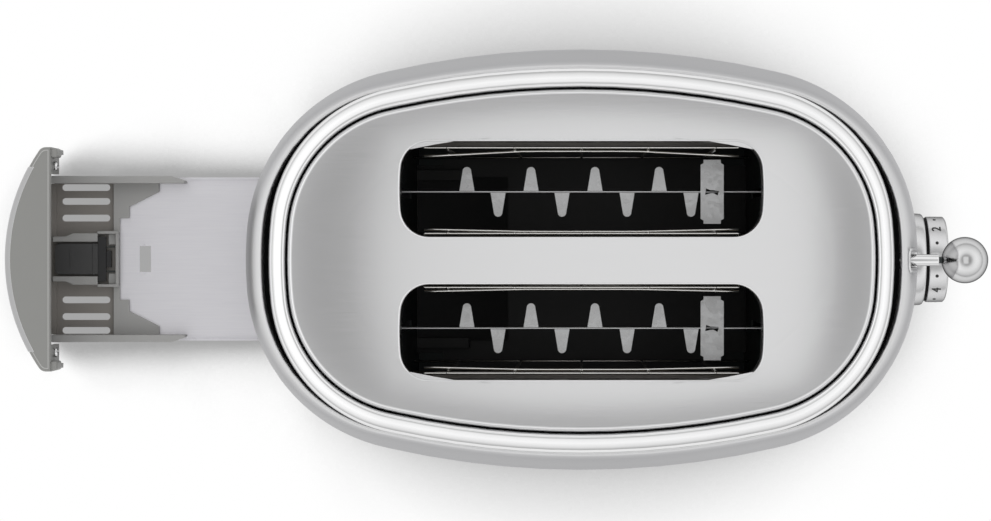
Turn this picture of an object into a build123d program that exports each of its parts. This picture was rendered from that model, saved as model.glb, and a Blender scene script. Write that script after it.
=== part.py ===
"""A two-slot retro toaster with its crumb tray pulled out, as an assembly of real pieces.

All sizes are in millimetres. X runs from the crumb tray end to the lever end, Y across the
toaster and Z up. The origin is on the counter, below the centre of the body.
"""

import os
from math import cos, pi, sin

from build123d import *

# The body, seen from above, is an oval of eight tangent arcs
body_length = 310.0
body_width = 195.0
total_height = 198.0
end_radius = 195.0
side_radius = 400.0
corner_radius = body_width / 2 - 15.5

# Body shell: pressed sheet with a shoulder that rolls inward to the crest
shell_bottom = 15.0
shell_top = total_height - 6.5
shell_wall = 1.4
lip_drop = 8.5
# Height as a share of the shell, then how far the oval draws in at the ends and at the sides
shell_profile = (
    (0.0, 6.5, 6.5),
    (0.25, 0.0, 0.0),
    (0.42, 0.0, 0.0),
    (0.62, 3.9, 3.9),
    (0.8, 7.9, 7.9),
    (0.92, 11.2, 11.2),
    (1.0, 17.3, 14.6),
)
# The liner side of the sheet follows these stations, then closes in under the crest
liner_stations = (0, 1, 2, 4)
liner_crest_inset = 16.4

# Black groove, crown ring and top plate
opening_inset_end = 18.7
opening_inset_side = 16.0
ring_length = body_length - 44.4
ring_width = body_width - 32.6
ring_wall = 7.0
ring_side_extra = 0.8
ring_top = total_height - 2.0
ring_bevel = 2.3
gasket_thickness = 1.8
gasket_reach = 0.5
plate_gap = 0.2
plate_crown = 3.6
plate_end_fall = 3.6
plate_stations = (-1.0, -0.6, 0.0, 0.6, 1.0)
plate_sheet = 1.2
plate_skirt = 8.0

# Bread slots
slot_length = 154.0
slot_width = 40.3
slot_pitch = 60.8
slot_corner = 12.0
slot_end_bow = 110.0
slot_collar = 1.4
slot_collar_fit = 0.05
slot_collar_bottom = total_height - 14.0

# Base moulding, feet and what is fixed to the base
foot_height = 7.0
foot_radius = 9.0
foot_x = 100.0
foot_y = 56.0
base_floor = 2.5
base_wall = 2.5
base_top = 23.0
base_fit = 0.3
base_flare = 5.5
gland_x = -30.0
gland_y = 25.5 - body_width / 2
gland_radius = 6.0
gland_fit = 0.1
gland_collar = 1.6
gland_drop = 5.0
gland_bore = 3.4
cleat_x = 46.0
cleat_drop = 5.0
cleat_post = 6.0
cleat_arm = 18.0
cleat_half_width = 12.0
cleat_arm_thickness = 1.6
terminal_x = 8.0
terminal_half_length = 14.0
terminal_half_width = 6.0
terminal_height = 12.0
terminal_pitch = 8.0
terminal_well = 4.0

# Chassis round the two toasting chambers
chamber_half_length = 80.0
chamber_half_width = 58.0
chassis_sheet = 0.8
chassis_bottom = 24.0
chassis_top_gap = 0.3
chassis_leg = 12.0
bracket_reach = 32.0
bracket_half_width = 36.0

# Heater boards and their flat windings
heater_offset = 23.4
board_thickness = 0.8
board_bottom = 52.0
board_top = slot_collar_bottom - 8.0
winding_runs = 9
winding_width = 2.0
winding_thickness = 0.4
winding_margin = 9.0

# Bread guards: wire grids that lean in when the bread goes down
guard_offset = 18.2
guard_wire = 0.8
guard_pivot_z = 50.0
guard_top_z = slot_collar_bottom - 3.0
guard_rail_half = 68.0
guard_upright_pitch = 28.8
guard_uprights = 5
guard_rail_drop = 7.0
guard_hook = 4.0
pivot_clearance = 0.05

# Bread racks: blades on edge with tabs bent out to alternate sides
rack_top = 138.0
rack_height = 14.0
rack_sheet = 1.0
rack_end = 77.0
tab_length = 10.7
tab_root = 6.7
tab_tip = 3.8
tab_start_left = -51.1
tab_start_right = -37.2
tab_pitch = 28.6
tab_count = 4
support_x = 58.2
support_length = 28.5
support_width = 10.3
support_sheet = 0.8
support_notch = 1.2
rack_slot_width = 4.0

# Carriage on two guide rods, and the lever
lever_travel = 52.0
carriage_x = 94.4
carriage_sheet = 1.4
carriage_half_width = 36.0
carriage_bottom = 120.0
carriage_top = 158.0
carriage_flange = 16.0
rod_x = 101.5
rod_y = 14.0
rod_radius = 2.5
running_clearance = 0.05
lever_z = 150.0
stem_radius = 2.55
neck_radius = 1.8
neck_length = 5.1
ball_radius = 10.25
ball_x = 169.2
ball_bands = 12
ball_sides = 24
neck_start = 1.2
neck_end_gap = 0.3
lever_slot_width = 6.3
lever_trim_width = 11.0
lever_trim_proud = 0.8
lever_slot_bottom = 93.5
lever_slot_top = shell_top - 4.5
spring_radius = 4.0
magnet_size = 16.0
magnet_coil_bottom = 32.0
magnet_coil_top = 60.0
magnet_gap = 0.3
armature_thickness = 1.5

# Control board, dial and push buttons
board_x = 121.6
control_sheet = 1.6
control_half_width = 36.0
control_top = 90.0
dial_z = 62.0
dial_radius = 20.2
dial_back = 162.4
dial_rim = 8.4
dial_dome = 1.2
dial_flat = 15.0
bezel_radius = 21.75
bezel_front = 161.0
bezel_depth = 6.0
seal_radius = 19.6
seal_thickness = 1.1
shaft_radius = 3.0
pot_size = 16.0
pot_depth = 8.0
button_z = 31.5
button_pitch = 18.0
button_radius = 4.7
button_travel = 2.5
button_gap = 0.3
button_flange = 1.2
bezel_fit = 0.15
button_face = 153.4
button_bezel_radius = 7.2
button_proud = 0.8
button_bezel_back = 143.0
button_stem_radius = 2.0
switch_size = 6.0
switch_depth = 3.5
plunger_length = 1.2

# Crumb tray. Its pieces are drawn where they lie when it is shut, then pulled out
tray_out = 120.0
tray_front_x = -154.0
tray_front_radius = 92.0
tray_half_width = 53.4
tray_back_x = -132.5
tray_corner = 4.0
tray_top_bevel = 0.8
tray_front_bottom = 11.0
tray_front_top = 56.0
tray_front_wall = 2.2
tray_ear = 3.2
tray_ear_width = 5.0
tray_fit = 0.5
skin_half_width = 44.0
skin_thickness = 0.9
skin_lip = 2.3
skin_proud = 0.3
skin_low_gap = 2.0
tray_floor_gap = 0.7
tray_floor = 2.0
tray_pan_half = 37.0
tray_floor_end = -107.0
rail_wall = 3.6
rail_height = 10.8
rail_end = -71.6
rail_tip = 6.0
vent_length = 23.7
vent_width = 3.3
vent_rows = (34.8, 27.8, 19.7)
vent_x = -119.55
shelf_gap = 0.2
shelf_thickness = 1.5
shelf_step_x = (-103.9, -99.0, -84.0)
shelf_step_y = (19.6, 25.0, 32.7)
sheet_thickness = 0.7
sheet_half_width = 40.0
sheet_length = 190.0
sheet_hem = 2.1
catch_x = 8.95
catch_length = 5.3
catch_half_width = 6.4
channel_inner = 8.5
channel_wall = 2.5
channel_end = -114.2
channel_height = 4.8
channel_bump = 1.2
box_half_width = 13.3
box_end = -103.9
box_wall = 1.5
latch_front = -135.0
latch_half_width = 8.0
latch_height = 4.0
latch_head = 3.9
latch_head_half = 11.0
latch_tongue = 2.3
latch_tongue_half = 4.1
latch_gap = 0.3
latch_leg_y = 6.0
latch_leg_radius = 0.35
runner_wall = 2.4
runner_gap = 0.4
runner_front = -125.0
runner_back = -55.0
rest_rib_y = 24.0
rest_rib_width = 3.0
rest_rib_back = -40.0
rest_gap = 0.3

# Heights and places that follow from the driving sizes
half_length = body_length / 2
half_width = body_width / 2
opening_half_length = half_length - opening_inset_end
opening_half_width = half_width - opening_inset_side
plate_half_length = ring_length / 2 - ring_wall - plate_gap
plate_half_width = ring_width / 2 - ring_wall - ring_side_extra - plate_gap
plate_edge = total_height - plate_crown
lip_bottom = shell_top - lip_drop
slot_y = slot_pitch / 2
floor_top = foot_height + base_floor
tray_bottom = floor_top + tray_floor_gap
tray_floor_top = tray_bottom + tray_floor
sheet_back = tray_floor_end + 0.8
shelf_bottom = tray_floor_top + sheet_thickness + shelf_gap
chassis_top = slot_collar_bottom - chassis_top_gap
rack_bottom = rack_top - rack_height
stem_back = carriage_x + carriage_sheet
neck_shoulder = ball_x - ball_radius - neck_start
neck_end = neck_shoulder + neck_length


def oval(half_x, half_y, z=0.0):
    """One top view outline of the body: eight tangent arcs, drawn in from the widest one."""
    in_x, in_y = half_length - half_x, half_width - half_y
    end_r = end_radius - in_x
    side_r = side_radius - in_y
    corner_r = corner_radius - (in_x + in_y) / 2
    end_centre = Vector(half_x - end_r, 0)
    side_centre = Vector(0, half_y - side_r)
    apart = side_centre - end_centre
    reach_end, reach_side = end_r - corner_r, side_r - corner_r
    along = (reach_end**2 - reach_side**2 + apart.length**2) / (2 * apart.length)
    across = (reach_end**2 - along**2) ** 0.5
    unit = apart.normalized()
    centre = end_centre + unit * along + Vector(-unit.Y, unit.X) * across
    if centre.X + centre.Y < 0:
        centre = end_centre + unit * along - Vector(-unit.Y, unit.X) * across
    from_end = (centre - end_centre).normalized()
    from_side = (centre - side_centre).normalized()
    first = end_centre + from_end * end_r
    second = side_centre + from_side * side_r
    middle = centre + (from_end + from_side).normalized() * corner_r

    def at(point, sign_x, sign_y):
        return (point.X * sign_x, point.Y * sign_y)

    edges = [
        ThreePointArc(at(first, 1, -1), (half_x, 0), at(first, 1, 1)),
        ThreePointArc(at(first, 1, 1), at(middle, 1, 1), at(second, 1, 1)),
        ThreePointArc(at(second, 1, 1), (0, half_y), at(second, -1, 1)),
        ThreePointArc(at(second, -1, 1), at(middle, -1, 1), at(first, -1, 1)),
        ThreePointArc(at(first, -1, 1), (-half_x, 0), at(first, -1, -1)),
        ThreePointArc(at(first, -1, -1), at(middle, -1, -1), at(second, -1, -1)),
        ThreePointArc(at(second, -1, -1), (0, -half_y), at(second, 1, -1)),
        ThreePointArc(at(second, 1, -1), at(middle, 1, -1), at(first, 1, -1)),
    ]
    return Pos(0, 0, z) * Face(Wire(edges))


def oval_prism(half_x, half_y, low, high):
    """An upright oval block between two heights."""
    return extrude(oval(half_x, half_y, low), high - low)


def oval_ring(outer, inner, low, high):
    """An upright oval ring between two heights."""
    return oval_prism(*outer, low, high) - oval_prism(*inner, low - 1, high + 1)


def span_box(x, y, z):
    """A box from its spans on the three axes."""
    centre = ((x[0] + x[1]) / 2, (y[0] + y[1]) / 2, (z[0] + z[1]) / 2)
    return Pos(*centre) * Box(x[1] - x[0], y[1] - y[0], z[1] - z[0])


def upright(x, y, low, high, radius):
    """A round bar that stands up."""
    return Pos(x, y, low) * Cylinder(radius, high - low, align=(Align.CENTER, Align.CENTER, Align.MIN))


def lying(x, y, z, radius):
    """A round bar along X, over the span x."""
    bar = Cylinder(radius, x[1] - x[0], align=(Align.CENTER, Align.CENTER, Align.MIN))
    return Pos(x[0], y, z) * Rot(0, 90, 0) * bar


def faceted(x, y, z, radius, sides=16):
    """A many sided bar along X, for small round pieces that repeat or are hidden."""
    return extrude(Plane.YZ.offset(x[0]) * Pos(y, z) * RegularPolygon(radius, sides), x[1] - x[0])


def both_sides(piece):
    """A piece and its mirror image on the other side of the toaster."""
    return piece + mirror(piece, Plane.XZ)


def body_form(grow=0.0):
    """The outside of the shell as a solid block, or one that lies a little in or out."""
    height = shell_top - shell_bottom
    sections = [
        oval(half_length - end_in + grow, half_width - side_in + grow, shell_bottom + share * height)
        for share, end_in, side_in in shell_profile
    ]
    return loft(sections, ruled=True)


def shell_liner():
    """The hollow inside the shell, up to under the crest."""
    height = shell_top - shell_bottom
    sections = []
    for station in liner_stations:
        share, end_in, _ = shell_profile[station]
        inset = end_in + shell_wall
        sections.append(oval(half_length - inset, half_width - inset, shell_bottom + share * height))
    inset = liner_crest_inset
    sections.append(oval(half_length - inset, half_width - inset, shell_top - 3 * shell_wall))
    return loft(sections, ruled=True)


def rounded_slot():
    """One bread slot seen from above: straight sides, rounded corners, slightly bowed ends."""
    bow = slot_end_bow - slot_length / 2
    blank = Rectangle(slot_length, slot_width + 10)
    blank = blank & (Pos(bow, 0) * Circle(slot_end_bow)) & (Pos(-bow, 0) * Circle(slot_end_bow))
    blank = blank & Rectangle(slot_length, slot_width)
    return fillet(blank.vertices(), slot_corner)



def body_shell():
    """The pressed shell: hollow, with its lip turned down into the black groove."""
    opening = (opening_half_length, opening_half_width)
    lip = (opening_half_length + shell_wall, opening_half_width + shell_wall)
    shell = outer_form - shell_liner()
    shell += oval_ring(lip, opening, lip_bottom, shell_top - shell_wall)
    shell -= oval_prism(*opening, lip_bottom - 1, shell_top + 1)
    shell -= span_box(
        (tray_front_x - 5, tray_back_x + 12),
        (-tray_half_width - tray_fit, tray_half_width + tray_fit),
        (shell_bottom - 1, tray_front_top + tray_fit),
    )
    slot_half = lever_slot_width / 2 + 0.3
    shell -= span_box(
        (opening_half_length + 2 * shell_wall, half_length + 5),
        (-slot_half, slot_half),
        (lever_slot_bottom - 0.5, lever_slot_top),
    )
    shell -= lying((stem_back, half_length + 5), 0, dial_z, bezel_radius + bezel_fit)
    for y in button_rows():
        shell -= faceted((stem_back, half_length + 5), y, button_z, button_bezel_radius + bezel_fit)
    return shell


def button_rows():
    """Where the three buttons sit across the end."""
    return (-button_pitch, 0.0, button_pitch)


def button_bore():
    """The radius of a button bezel's bore."""
    return button_radius + button_gap


def crown_ring():
    """The polished rounded bead that frames the top plate."""
    outer = (ring_length / 2, ring_width / 2)
    inner = (ring_length / 2 - ring_wall, ring_width / 2 - ring_wall - ring_side_extra)
    ring = oval_ring(outer, inner, lip_bottom, ring_top)
    return chamfer(ring.edges().group_by(Axis.Z)[-1], ring_bevel)


def cover_gasket():
    """The black ring at the bottom of the groove, under the shell's lip and the crown ring."""
    outer = (opening_half_length + gasket_reach, opening_half_width + gasket_reach)
    inner = (ring_length / 2 - gasket_reach, ring_width / 2 - gasket_reach)
    return oval_ring(outer, inner, lip_bottom - gasket_thickness, lip_bottom)


def pillow(drop):
    """A block whose top is crowned across the plate and falls away toward its ends."""
    low = slot_collar_bottom - 5
    sections = []
    for share in plate_stations:
        middle = total_height - drop - plate_end_fall * share**2
        side = middle - plate_crown
        arc = ThreePointArc((plate_half_width, side), (0, middle), (-plate_half_width, side))
        below = [(-plate_half_width, side), (-plate_half_width, low), (plate_half_width, low)]
        frame = Polyline(*below, (plate_half_width, side))
        sections.append(Plane.YZ.offset(share * plate_half_length) * make_face(Curve() + [arc, frame]))
    return loft(sections, ruled=True)


def top_plate():
    """The brushed plate: crowned sheet with a skirt, cut out for the collars of the slots."""
    outline = (plate_half_length, plate_half_width)
    within = (plate_half_length - plate_sheet, plate_half_width - plate_sheet)
    low = plate_edge - plate_skirt
    plate = pillow(0) & oval_prism(*outline, low, total_height + 1)
    hollow = pillow(plate_sheet) & oval_prism(*within, low - 1, total_height + 1)
    plate -= hollow
    cut = offset(rounded_slot(), slot_collar + slot_collar_fit)
    for y in (-slot_y, slot_y):
        plate -= Pos(0, y, low - 1) * extrude(cut, total_height)
    return plate


def slot_collar_tube(y):
    """The polished collar that lines one bread slot, flush with the top of the plate."""
    slot = rounded_slot()
    tube = Pos(0, y, slot_collar_bottom) * extrude(offset(slot, slot_collar), total_height - slot_collar_bottom)
    return (tube - Pos(0, y, slot_collar_bottom - 1) * extrude(slot, total_height)) & pillow(0)


def base_moulding():
    """The dark base pan: floor, wall that flares up into the shell, runners for the tray."""
    reach = shell_profile[0][1] + shell_wall + base_fit
    half_x, half_y = half_length - reach, half_width - reach
    rim = (half_x - base_wall, half_y - base_wall)
    foot = (half_x - base_flare, half_y - base_flare)
    outside = loft([oval(*foot, foot_height), oval(half_x, half_y, shell_bottom - 0.5)], ruled=True)
    outside += oval_prism(half_x, half_y, shell_bottom - 0.5, base_top)
    well = (foot[0] - base_wall, foot[1] - base_wall)
    inside = loft([oval(*well, floor_top), oval(*rim, shell_bottom)], ruled=True)
    inside += oval_prism(*rim, shell_bottom, base_top + 1)
    base = outside - inside
    base -= span_box(
        (tray_front_x - 5, tray_back_x + 12),
        (-tray_half_width - 2 * tray_fit, tray_half_width + 2 * tray_fit),
        (floor_top, base_top + 1),
    )
    base += both_sides(tray_runner() + rest_rib())
    return base - gland_prism(foot_height - 1, floor_top + 1, gland_radius)


def tray_runner():
    """A runner on one side of the tray: an upright with a lip over the tray's rail."""
    inner = tray_pan_half + rail_wall + runner_gap
    rail_top = tray_bottom + rail_height
    top = rail_top + runner_gap + runner_wall / 2
    web = span_box((runner_front, runner_back), (inner, inner + runner_wall), (floor_top - 0.5, top))
    lip = span_box(
        (runner_front, runner_back),
        (inner - rail_wall + 1, inner + runner_wall),
        (rail_top + runner_gap, top),
    )
    return web + lip


def rest_rib():
    """A low rib on the base floor, behind the pan, that the crumb sheet slides on."""
    return span_box(
        (tray_floor_end + 3, rest_rib_back),
        (rest_rib_y, rest_rib_y + rest_rib_width),
        (floor_top - 0.5, tray_floor_top - rest_gap),
    )


def rubber_feet():
    """Four round rubber feet."""
    foot = extrude(RegularPolygon(foot_radius, 24), foot_height)
    return [Pos(foot_x * i, foot_y * j) * foot for i in (-1, 1) for j in (-1, 1)]


def gland_prism(low, high, radius):
    """An eight sided block at the gland, which the base holds from turning."""
    return Pos(gland_x, gland_y, low) * extrude(RegularPolygon(radius, 8), high - low)


def cord_gland():
    """The strain relief in the base floor where a mains lead would enter."""
    throat = gland_prism(foot_height - gland_drop, floor_top + gland_collar, gland_radius - gland_fit)
    collar = gland_prism(foot_height - gland_collar, foot_height, gland_radius + gland_collar)
    nut = gland_prism(floor_top, floor_top + gland_collar, gland_radius + gland_collar)
    return throat + collar + nut - gland_prism(0, floor_top + shell_bottom, gland_bore)


def cord_cleats():
    """Two T shaped cleats under the base, for winding a lead between them."""
    cleats = []
    across = (-cleat_half_width, cleat_half_width)
    low = foot_height - cleat_drop
    for side in (-1, 1):
        x = side * cleat_x
        post = span_box((x - cleat_post / 2, x + cleat_post / 2), across, (low, foot_height))
        arm = span_box((x - cleat_arm / 2, x + cleat_arm / 2), across, (low, low + cleat_arm_thickness))
        cleats.append(post + arm)
    return cleats


def terminal_block():
    """The block on the base floor where the lead's wires are clamped."""
    block = span_box(
        (terminal_x - terminal_half_length, terminal_x + terminal_half_length),
        (gland_y - terminal_half_width, gland_y + terminal_half_width),
        (floor_top, floor_top + terminal_height),
    )
    half = terminal_well / 2
    for place in (-1, 0, 1):
        x = terminal_x + place * terminal_pitch
        wells = (floor_top + terminal_height / 2, floor_top + terminal_height + 1)
        block -= span_box((x - half, x + half), (gland_y - half, gland_y + half), wells)
    return block


def end_plate(inner_x, outer_x):
    """A chassis end plate: legs past the tray, slots for the racks, holes for the guards."""
    side = 1 if outer_x > 0 else -1
    span = (min(inner_x, outer_x), max(inner_x, outer_x))
    plate = span_box(span, (-chamber_half_width, chamber_half_width), (chassis_bottom, chassis_top))
    leg = span_box(span, (chamber_half_width - chassis_leg, chamber_half_width), (floor_top, chassis_bottom))
    toe_span = (inner_x, inner_x - side * chassis_leg)
    toe = span_box(
        (min(toe_span), max(toe_span)),
        (chamber_half_width - chassis_leg, chamber_half_width),
        (floor_top, floor_top + chassis_sheet),
    )
    plate += both_sides(leg + toe)
    half = rack_slot_width / 2
    low = rack_bottom - lever_travel - half
    for y in (-slot_y, slot_y):
        plate -= span_box((span[0] - 1, span[1] + 1), (y - half, y + half), (low, rack_top + half))
        for offset_y in (-guard_offset, guard_offset):
            hole = guard_wire + pivot_clearance
            middle = y + offset_y
            plate -= span_box(
                (span[0] - 1, span[1] + 1),
                (middle - hole, middle + hole),
                (guard_pivot_z - hole, guard_pivot_z + hole),
            )
    return plate


def chassis_front():
    """The end plate on the lever side, with flanges that carry the guide rods."""
    outer = chamber_half_length + chassis_sheet
    plate = end_plate(chamber_half_length, outer)
    reach = (outer, outer + bracket_reach)
    top = span_box(reach, (-bracket_half_width, bracket_half_width), (chassis_top - chassis_sheet, chassis_top))
    foot = span_box(reach, (-bracket_half_width, bracket_half_width), (chassis_bottom, chassis_bottom + chassis_sheet))
    return plate + top + foot


def chassis_rear():
    """The end plate on the tray side."""
    return end_plate(-chamber_half_length, -chamber_half_length - chassis_sheet)


def reflector():
    """A side sheet of the chassis with its top edge turned out."""
    end = chamber_half_length + chassis_sheet
    inner, outer = chamber_half_width, chamber_half_width + chassis_sheet
    wall = span_box((-end, end), (inner, outer), (chassis_bottom, chassis_top))
    return wall + span_box((-end, end), (inner, outer + 3), (chassis_top - chassis_sheet, chassis_top))


def heater_board(y):
    """A mica board that stands between the chassis end plates."""
    half = board_thickness / 2
    return span_box((-chamber_half_length, chamber_half_length), (y - half, y + half), (board_bottom, board_top))


def winding_pitch():
    """The height from one run of the winding to the next."""
    return (board_top - board_bottom - 2 * winding_margin) / (winding_runs - 1)


def heater_winding(y, facing):
    """Flat resistance ribbon on one face of a board, folded back at each end."""
    near = y + facing * board_thickness / 2
    span_y = sorted((near, near + facing * winding_thickness))
    reach = chamber_half_length - winding_margin
    pitch = winding_pitch()
    ribbon = None
    for run in range(winding_runs):
        z = board_bottom + winding_margin + run * pitch
        bar = span_box((-reach, reach), span_y, (z, z + winding_width))
        ribbon = bar if ribbon is None else ribbon + bar
        if run < winding_runs - 1:
            side = 1 if run % 2 else -1
            ends = sorted((side * reach, side * (reach - winding_width)))
            ribbon += span_box(ends, span_y, (z, z + pitch + winding_width))
    return ribbon


def wire(start, end, radius):
    """A straight piece of wire, four sided to keep the grid light."""
    along = Vector(*end) - Vector(*start)
    frame = Plane(origin=start, z_dir=along.normalized())
    return extrude(frame * Rot(0, 0, 45) * RegularPolygon(radius * 1.25, 4), along.length)


def bread_guard(y, facing):
    """A wire grid: pivot rail, five uprights and two rails whose ends hook to the wall."""
    end = chamber_half_length + 2
    grid = wire((-end, y, guard_pivot_z), (end, y, guard_pivot_z), guard_wire)
    for i in range(guard_uprights):
        x = (i - (guard_uprights - 1) / 2) * guard_upright_pitch
        grid += wire((x, y, guard_pivot_z), (x, y, guard_top_z), guard_wire)
    thin = guard_wire * 0.8
    reach = guard_rail_half
    for drop in (guard_wire, guard_rail_drop):
        z = guard_top_z - drop
        grid += wire((-reach, y, z), (reach, y, z), thin)
        for side in (-1, 1):
            x = side * (reach - thin)
            grid += wire((x, y, z), (x, y - facing * guard_hook, z), thin)
    return grid


def tab(x, y, side):
    """One bread tab, bent out flat from the top edge of the blade and narrowed to its tip."""
    root_y = y + side * rack_sheet / 2
    neck_y = root_y + side * (tab_length - tab_tip / 3)
    tip_y = root_y + side * tab_length
    corners = [
        (x - tab_root / 2, root_y),
        (x - tab_tip / 2, neck_y),
        (x - tab_tip / 4, tip_y),
        (x + tab_tip / 4, tip_y),
        (x + tab_tip / 2, neck_y),
        (x + tab_root / 2, root_y),
    ]
    outline = make_face(Polyline(*corners, close=True))
    return Pos(0, 0, rack_top - rack_sheet) * extrude(outline, rack_sheet)


def bread_rack(y):
    """A blade on edge from the rear end plate to the carriage, with tabs to alternate sides."""
    half = rack_sheet / 2
    rack = span_box((-rack_end, carriage_x), (y - half, y + half), (rack_bottom, rack_top))
    tongue_z = (rack_bottom + 3, rack_top - 3)
    rack += span_box((-chamber_half_length - 4, -rack_end), (y - half, y + half), tongue_z)
    front = span_box((rack_end + 1, carriage_x), (y - 1, y + 1), (rack_top - 3, rack_top + 1))
    rack -= front
    for i in range(tab_count):
        rack += tab(tab_start_left + i * tab_pitch, y, 1)
        rack += tab(tab_start_right + i * tab_pitch, y, -1)
    return rack


def rack_support(y):
    """The cross strip that lies on the blade near the lever end, notched and pierced."""
    strip = Rectangle(support_width, support_length)
    notch = Rectangle(2 * support_notch, 2 * support_notch)
    for i in (-1, 1):
        for j in (-1, 1):
            strip -= Pos(i * support_width / 2, j * support_length / 2) * notch
    tie = [(-2.6, 1.3), (-0.8, 0.5), (2.2, 1.2), (2.6, -0.9), (0.6, -0.5), (-2.2, -1.1)]
    strip -= make_face(Polyline(*tie, close=True))
    return Pos(support_x, y, rack_top) * extrude(strip, support_sheet)


def carriage_plate():
    """The bent carriage: a wall that holds the racks and lever, two flanges bored for the rods."""
    front = (carriage_x, stem_back)
    plate = span_box(front, (-carriage_half_width, carriage_half_width), (carriage_bottom, rack_top + 4))
    plate += span_box(front, (-rod_y - 8, rod_y + 8), (carriage_bottom, carriage_top))
    reach = (carriage_x, carriage_x + carriage_flange)
    low = (carriage_bottom, carriage_bottom + carriage_sheet)
    high = (carriage_top - carriage_sheet, carriage_top)
    plate += span_box(reach, (-rod_y - 8, carriage_half_width), low)
    plate += span_box(reach, (-rod_y - 8, rod_y + 8), high)
    for y in (-rod_y, rod_y):
        plate -= upright(rod_x, y, carriage_bottom - 5, carriage_top + 5, rod_radius + running_clearance)
    return plate


def armature():
    """The soft iron plate under the carriage that the magnet holds."""
    y = (magnet_y() - magnet_size / 2, magnet_y() + magnet_size / 2)
    x = (rod_x - magnet_size / 2 + 1, rod_x + magnet_size / 2)
    return span_box(x, y, (carriage_bottom - armature_thickness, carriage_bottom))


def magnet_y():
    """The middle of the holding magnet, beside the guide rods."""
    return rod_y + rod_radius + magnet_size / 2 + 3


def magnet_core():
    """The E shaped iron of the holding magnet, up to just under the armature's lowest place."""
    top = carriage_bottom - armature_thickness - lever_travel - magnet_gap
    half = magnet_size / 2
    low = chassis_bottom + chassis_sheet
    core = span_box((rod_x - 3, rod_x + 3), (magnet_y() - half, magnet_y() + half), (low, top))
    for side in (-1, 1):
        y = magnet_y() + side * (half / 2 + 0.6)
        coil_gap = span_box((rod_x - 4, rod_x + 4), (y - 2.2, y + 2.2), (magnet_coil_bottom, top + 1))
        core -= coil_gap
    return core


def magnet_coil():
    """The coil round the core's middle leg."""
    half = magnet_size / 2
    leg = half / 2 + 0.6 - 2.2
    coil = span_box(
        (rod_x - 6, rod_x + 6),
        (magnet_y() - leg - 3.6, magnet_y() + leg + 3.6),
        (magnet_coil_bottom + 0.5, magnet_coil_top),
    )
    coil = chamfer(coil.edges().filter_by(Axis.Z), 1.5)
    return coil - span_box((rod_x - 3, rod_x + 3), (magnet_y() - leg, magnet_y() + leg), (0, chassis_top))


def guide_rods():
    """Two steel rods between the flanges of the front end plate."""
    low, high = chassis_bottom + chassis_sheet, chassis_top - chassis_sheet
    return [upright(rod_x, y, low, high, rod_radius) for y in (-rod_y, rod_y)]


def lift_spring():
    """The space of the lift spring, hooked between the carriage and the upper flange."""
    low, high = carriage_top, chassis_top - chassis_sheet
    tube = RegularPolygon(spring_radius, 12) - RegularPolygon(spring_radius - 1, 12)
    return Pos(rod_x, 0, low) * extrude(tube, high - low)


def lever_stem():
    """The round stem from the carriage out through the slot, turned down at the ball."""
    stem = lying((stem_back, neck_shoulder), 0, lever_z, stem_radius)
    return stem + lying((neck_shoulder, neck_end), 0, lever_z, neck_radius)


def ball_point(band, side):
    """A corner of the ball's facets: band counts along the lever's axis, side round it."""
    along, around = pi * band / ball_bands, 2 * pi * side / ball_sides
    out = ball_radius * sin(along)
    return (ball_x - ball_radius * cos(along), out * cos(around), lever_z + out * sin(around))


def lever_ball():
    """The polished ball, in flat facets round the lever's axis, bored for the neck of the stem."""
    facets = []
    for pole, ring in ((0, 1), (ball_bands, ball_bands - 1)):
        for side in range(ball_sides):
            corners = [ball_point(pole, 0), ball_point(ring, side), ball_point(ring, side + 1)]
            facets.append(Face(Wire.make_polygon(corners)))
    for band in range(1, ball_bands - 1):
        for side in range(ball_sides):
            near = [ball_point(band, side), ball_point(band, side + 1)]
            far = [ball_point(band + 1, side + 1), ball_point(band + 1, side)]
            facets.append(Face(Wire.make_polygon(near + far)))
    ball = Solid(Shell(facets))
    bore = span_box(
        (ball_x - ball_radius - 1, neck_end + neck_end_gap),
        (-neck_radius - running_clearance, neck_radius + running_clearance),
        (lever_z - neck_radius - running_clearance, lever_z + neck_radius + running_clearance),
    )
    return ball - bore


def lever_slot_trim():
    """The bright trim that follows the shell round the lever's slot."""
    half = lever_trim_width / 2
    low, high = lever_slot_bottom - half, lever_slot_top + 1.5
    trim = body_form(lever_trim_proud) & span_box((half_length / 2, half_length + 5), (-half, half), (low, high))
    trim -= outer_form
    slot = span_box(
        (half_length / 2, half_length + 5),
        (-lever_slot_width / 2, lever_slot_width / 2),
        (lever_slot_bottom, lever_slot_top - 1),
    )
    return trim - slot


def dial_bezel():
    """The turned flange behind the dial, in its hole in the shell."""
    bezel = lying((half_length - bezel_depth, bezel_front), 0, dial_z, bezel_radius)
    bore = (half_length - bezel_depth - 1, bezel_front + 1)
    return bezel - lying(bore, 0, dial_z, shaft_radius + running_clearance)


def dial_seal():
    """The black washer between the flange and the dial."""
    reach = (bezel_front, bezel_front + seal_thickness)
    bore = (bezel_front - 1, bezel_front + seal_thickness + 1)
    washer = faceted(reach, 0, dial_z, seal_radius, 32)
    return washer - faceted(bore, 0, dial_z, shaft_radius + 4 * running_clearance)


def browning_dial():
    """The turned dial: rim, face that falls away to the rim, blind bore for the shaft."""
    face_x = dial_back + dial_rim
    profile = [
        (0, dial_back),
        (dial_radius, dial_back),
        (dial_radius, face_x),
        (dial_flat, face_x + dial_dome),
        (0, face_x + dial_dome),
    ]
    dial = revolve(make_face(Polyline(*profile, close=True)), Axis.Y)
    dial = Pos(0, 0, dial_z) * Rot(0, 0, -90) * dial
    bore = (dial_back - 1, dial_back + dial_rim / 2 + button_gap)
    return dial - lying(bore, 0, dial_z, shaft_radius + running_clearance)


def dial_shaft():
    """The shaft from the potentiometer to the dial."""
    back = board_x + control_sheet + pot_depth + 0.3
    return lying((back, dial_back + dial_rim / 2), 0, dial_z, shaft_radius)


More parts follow.
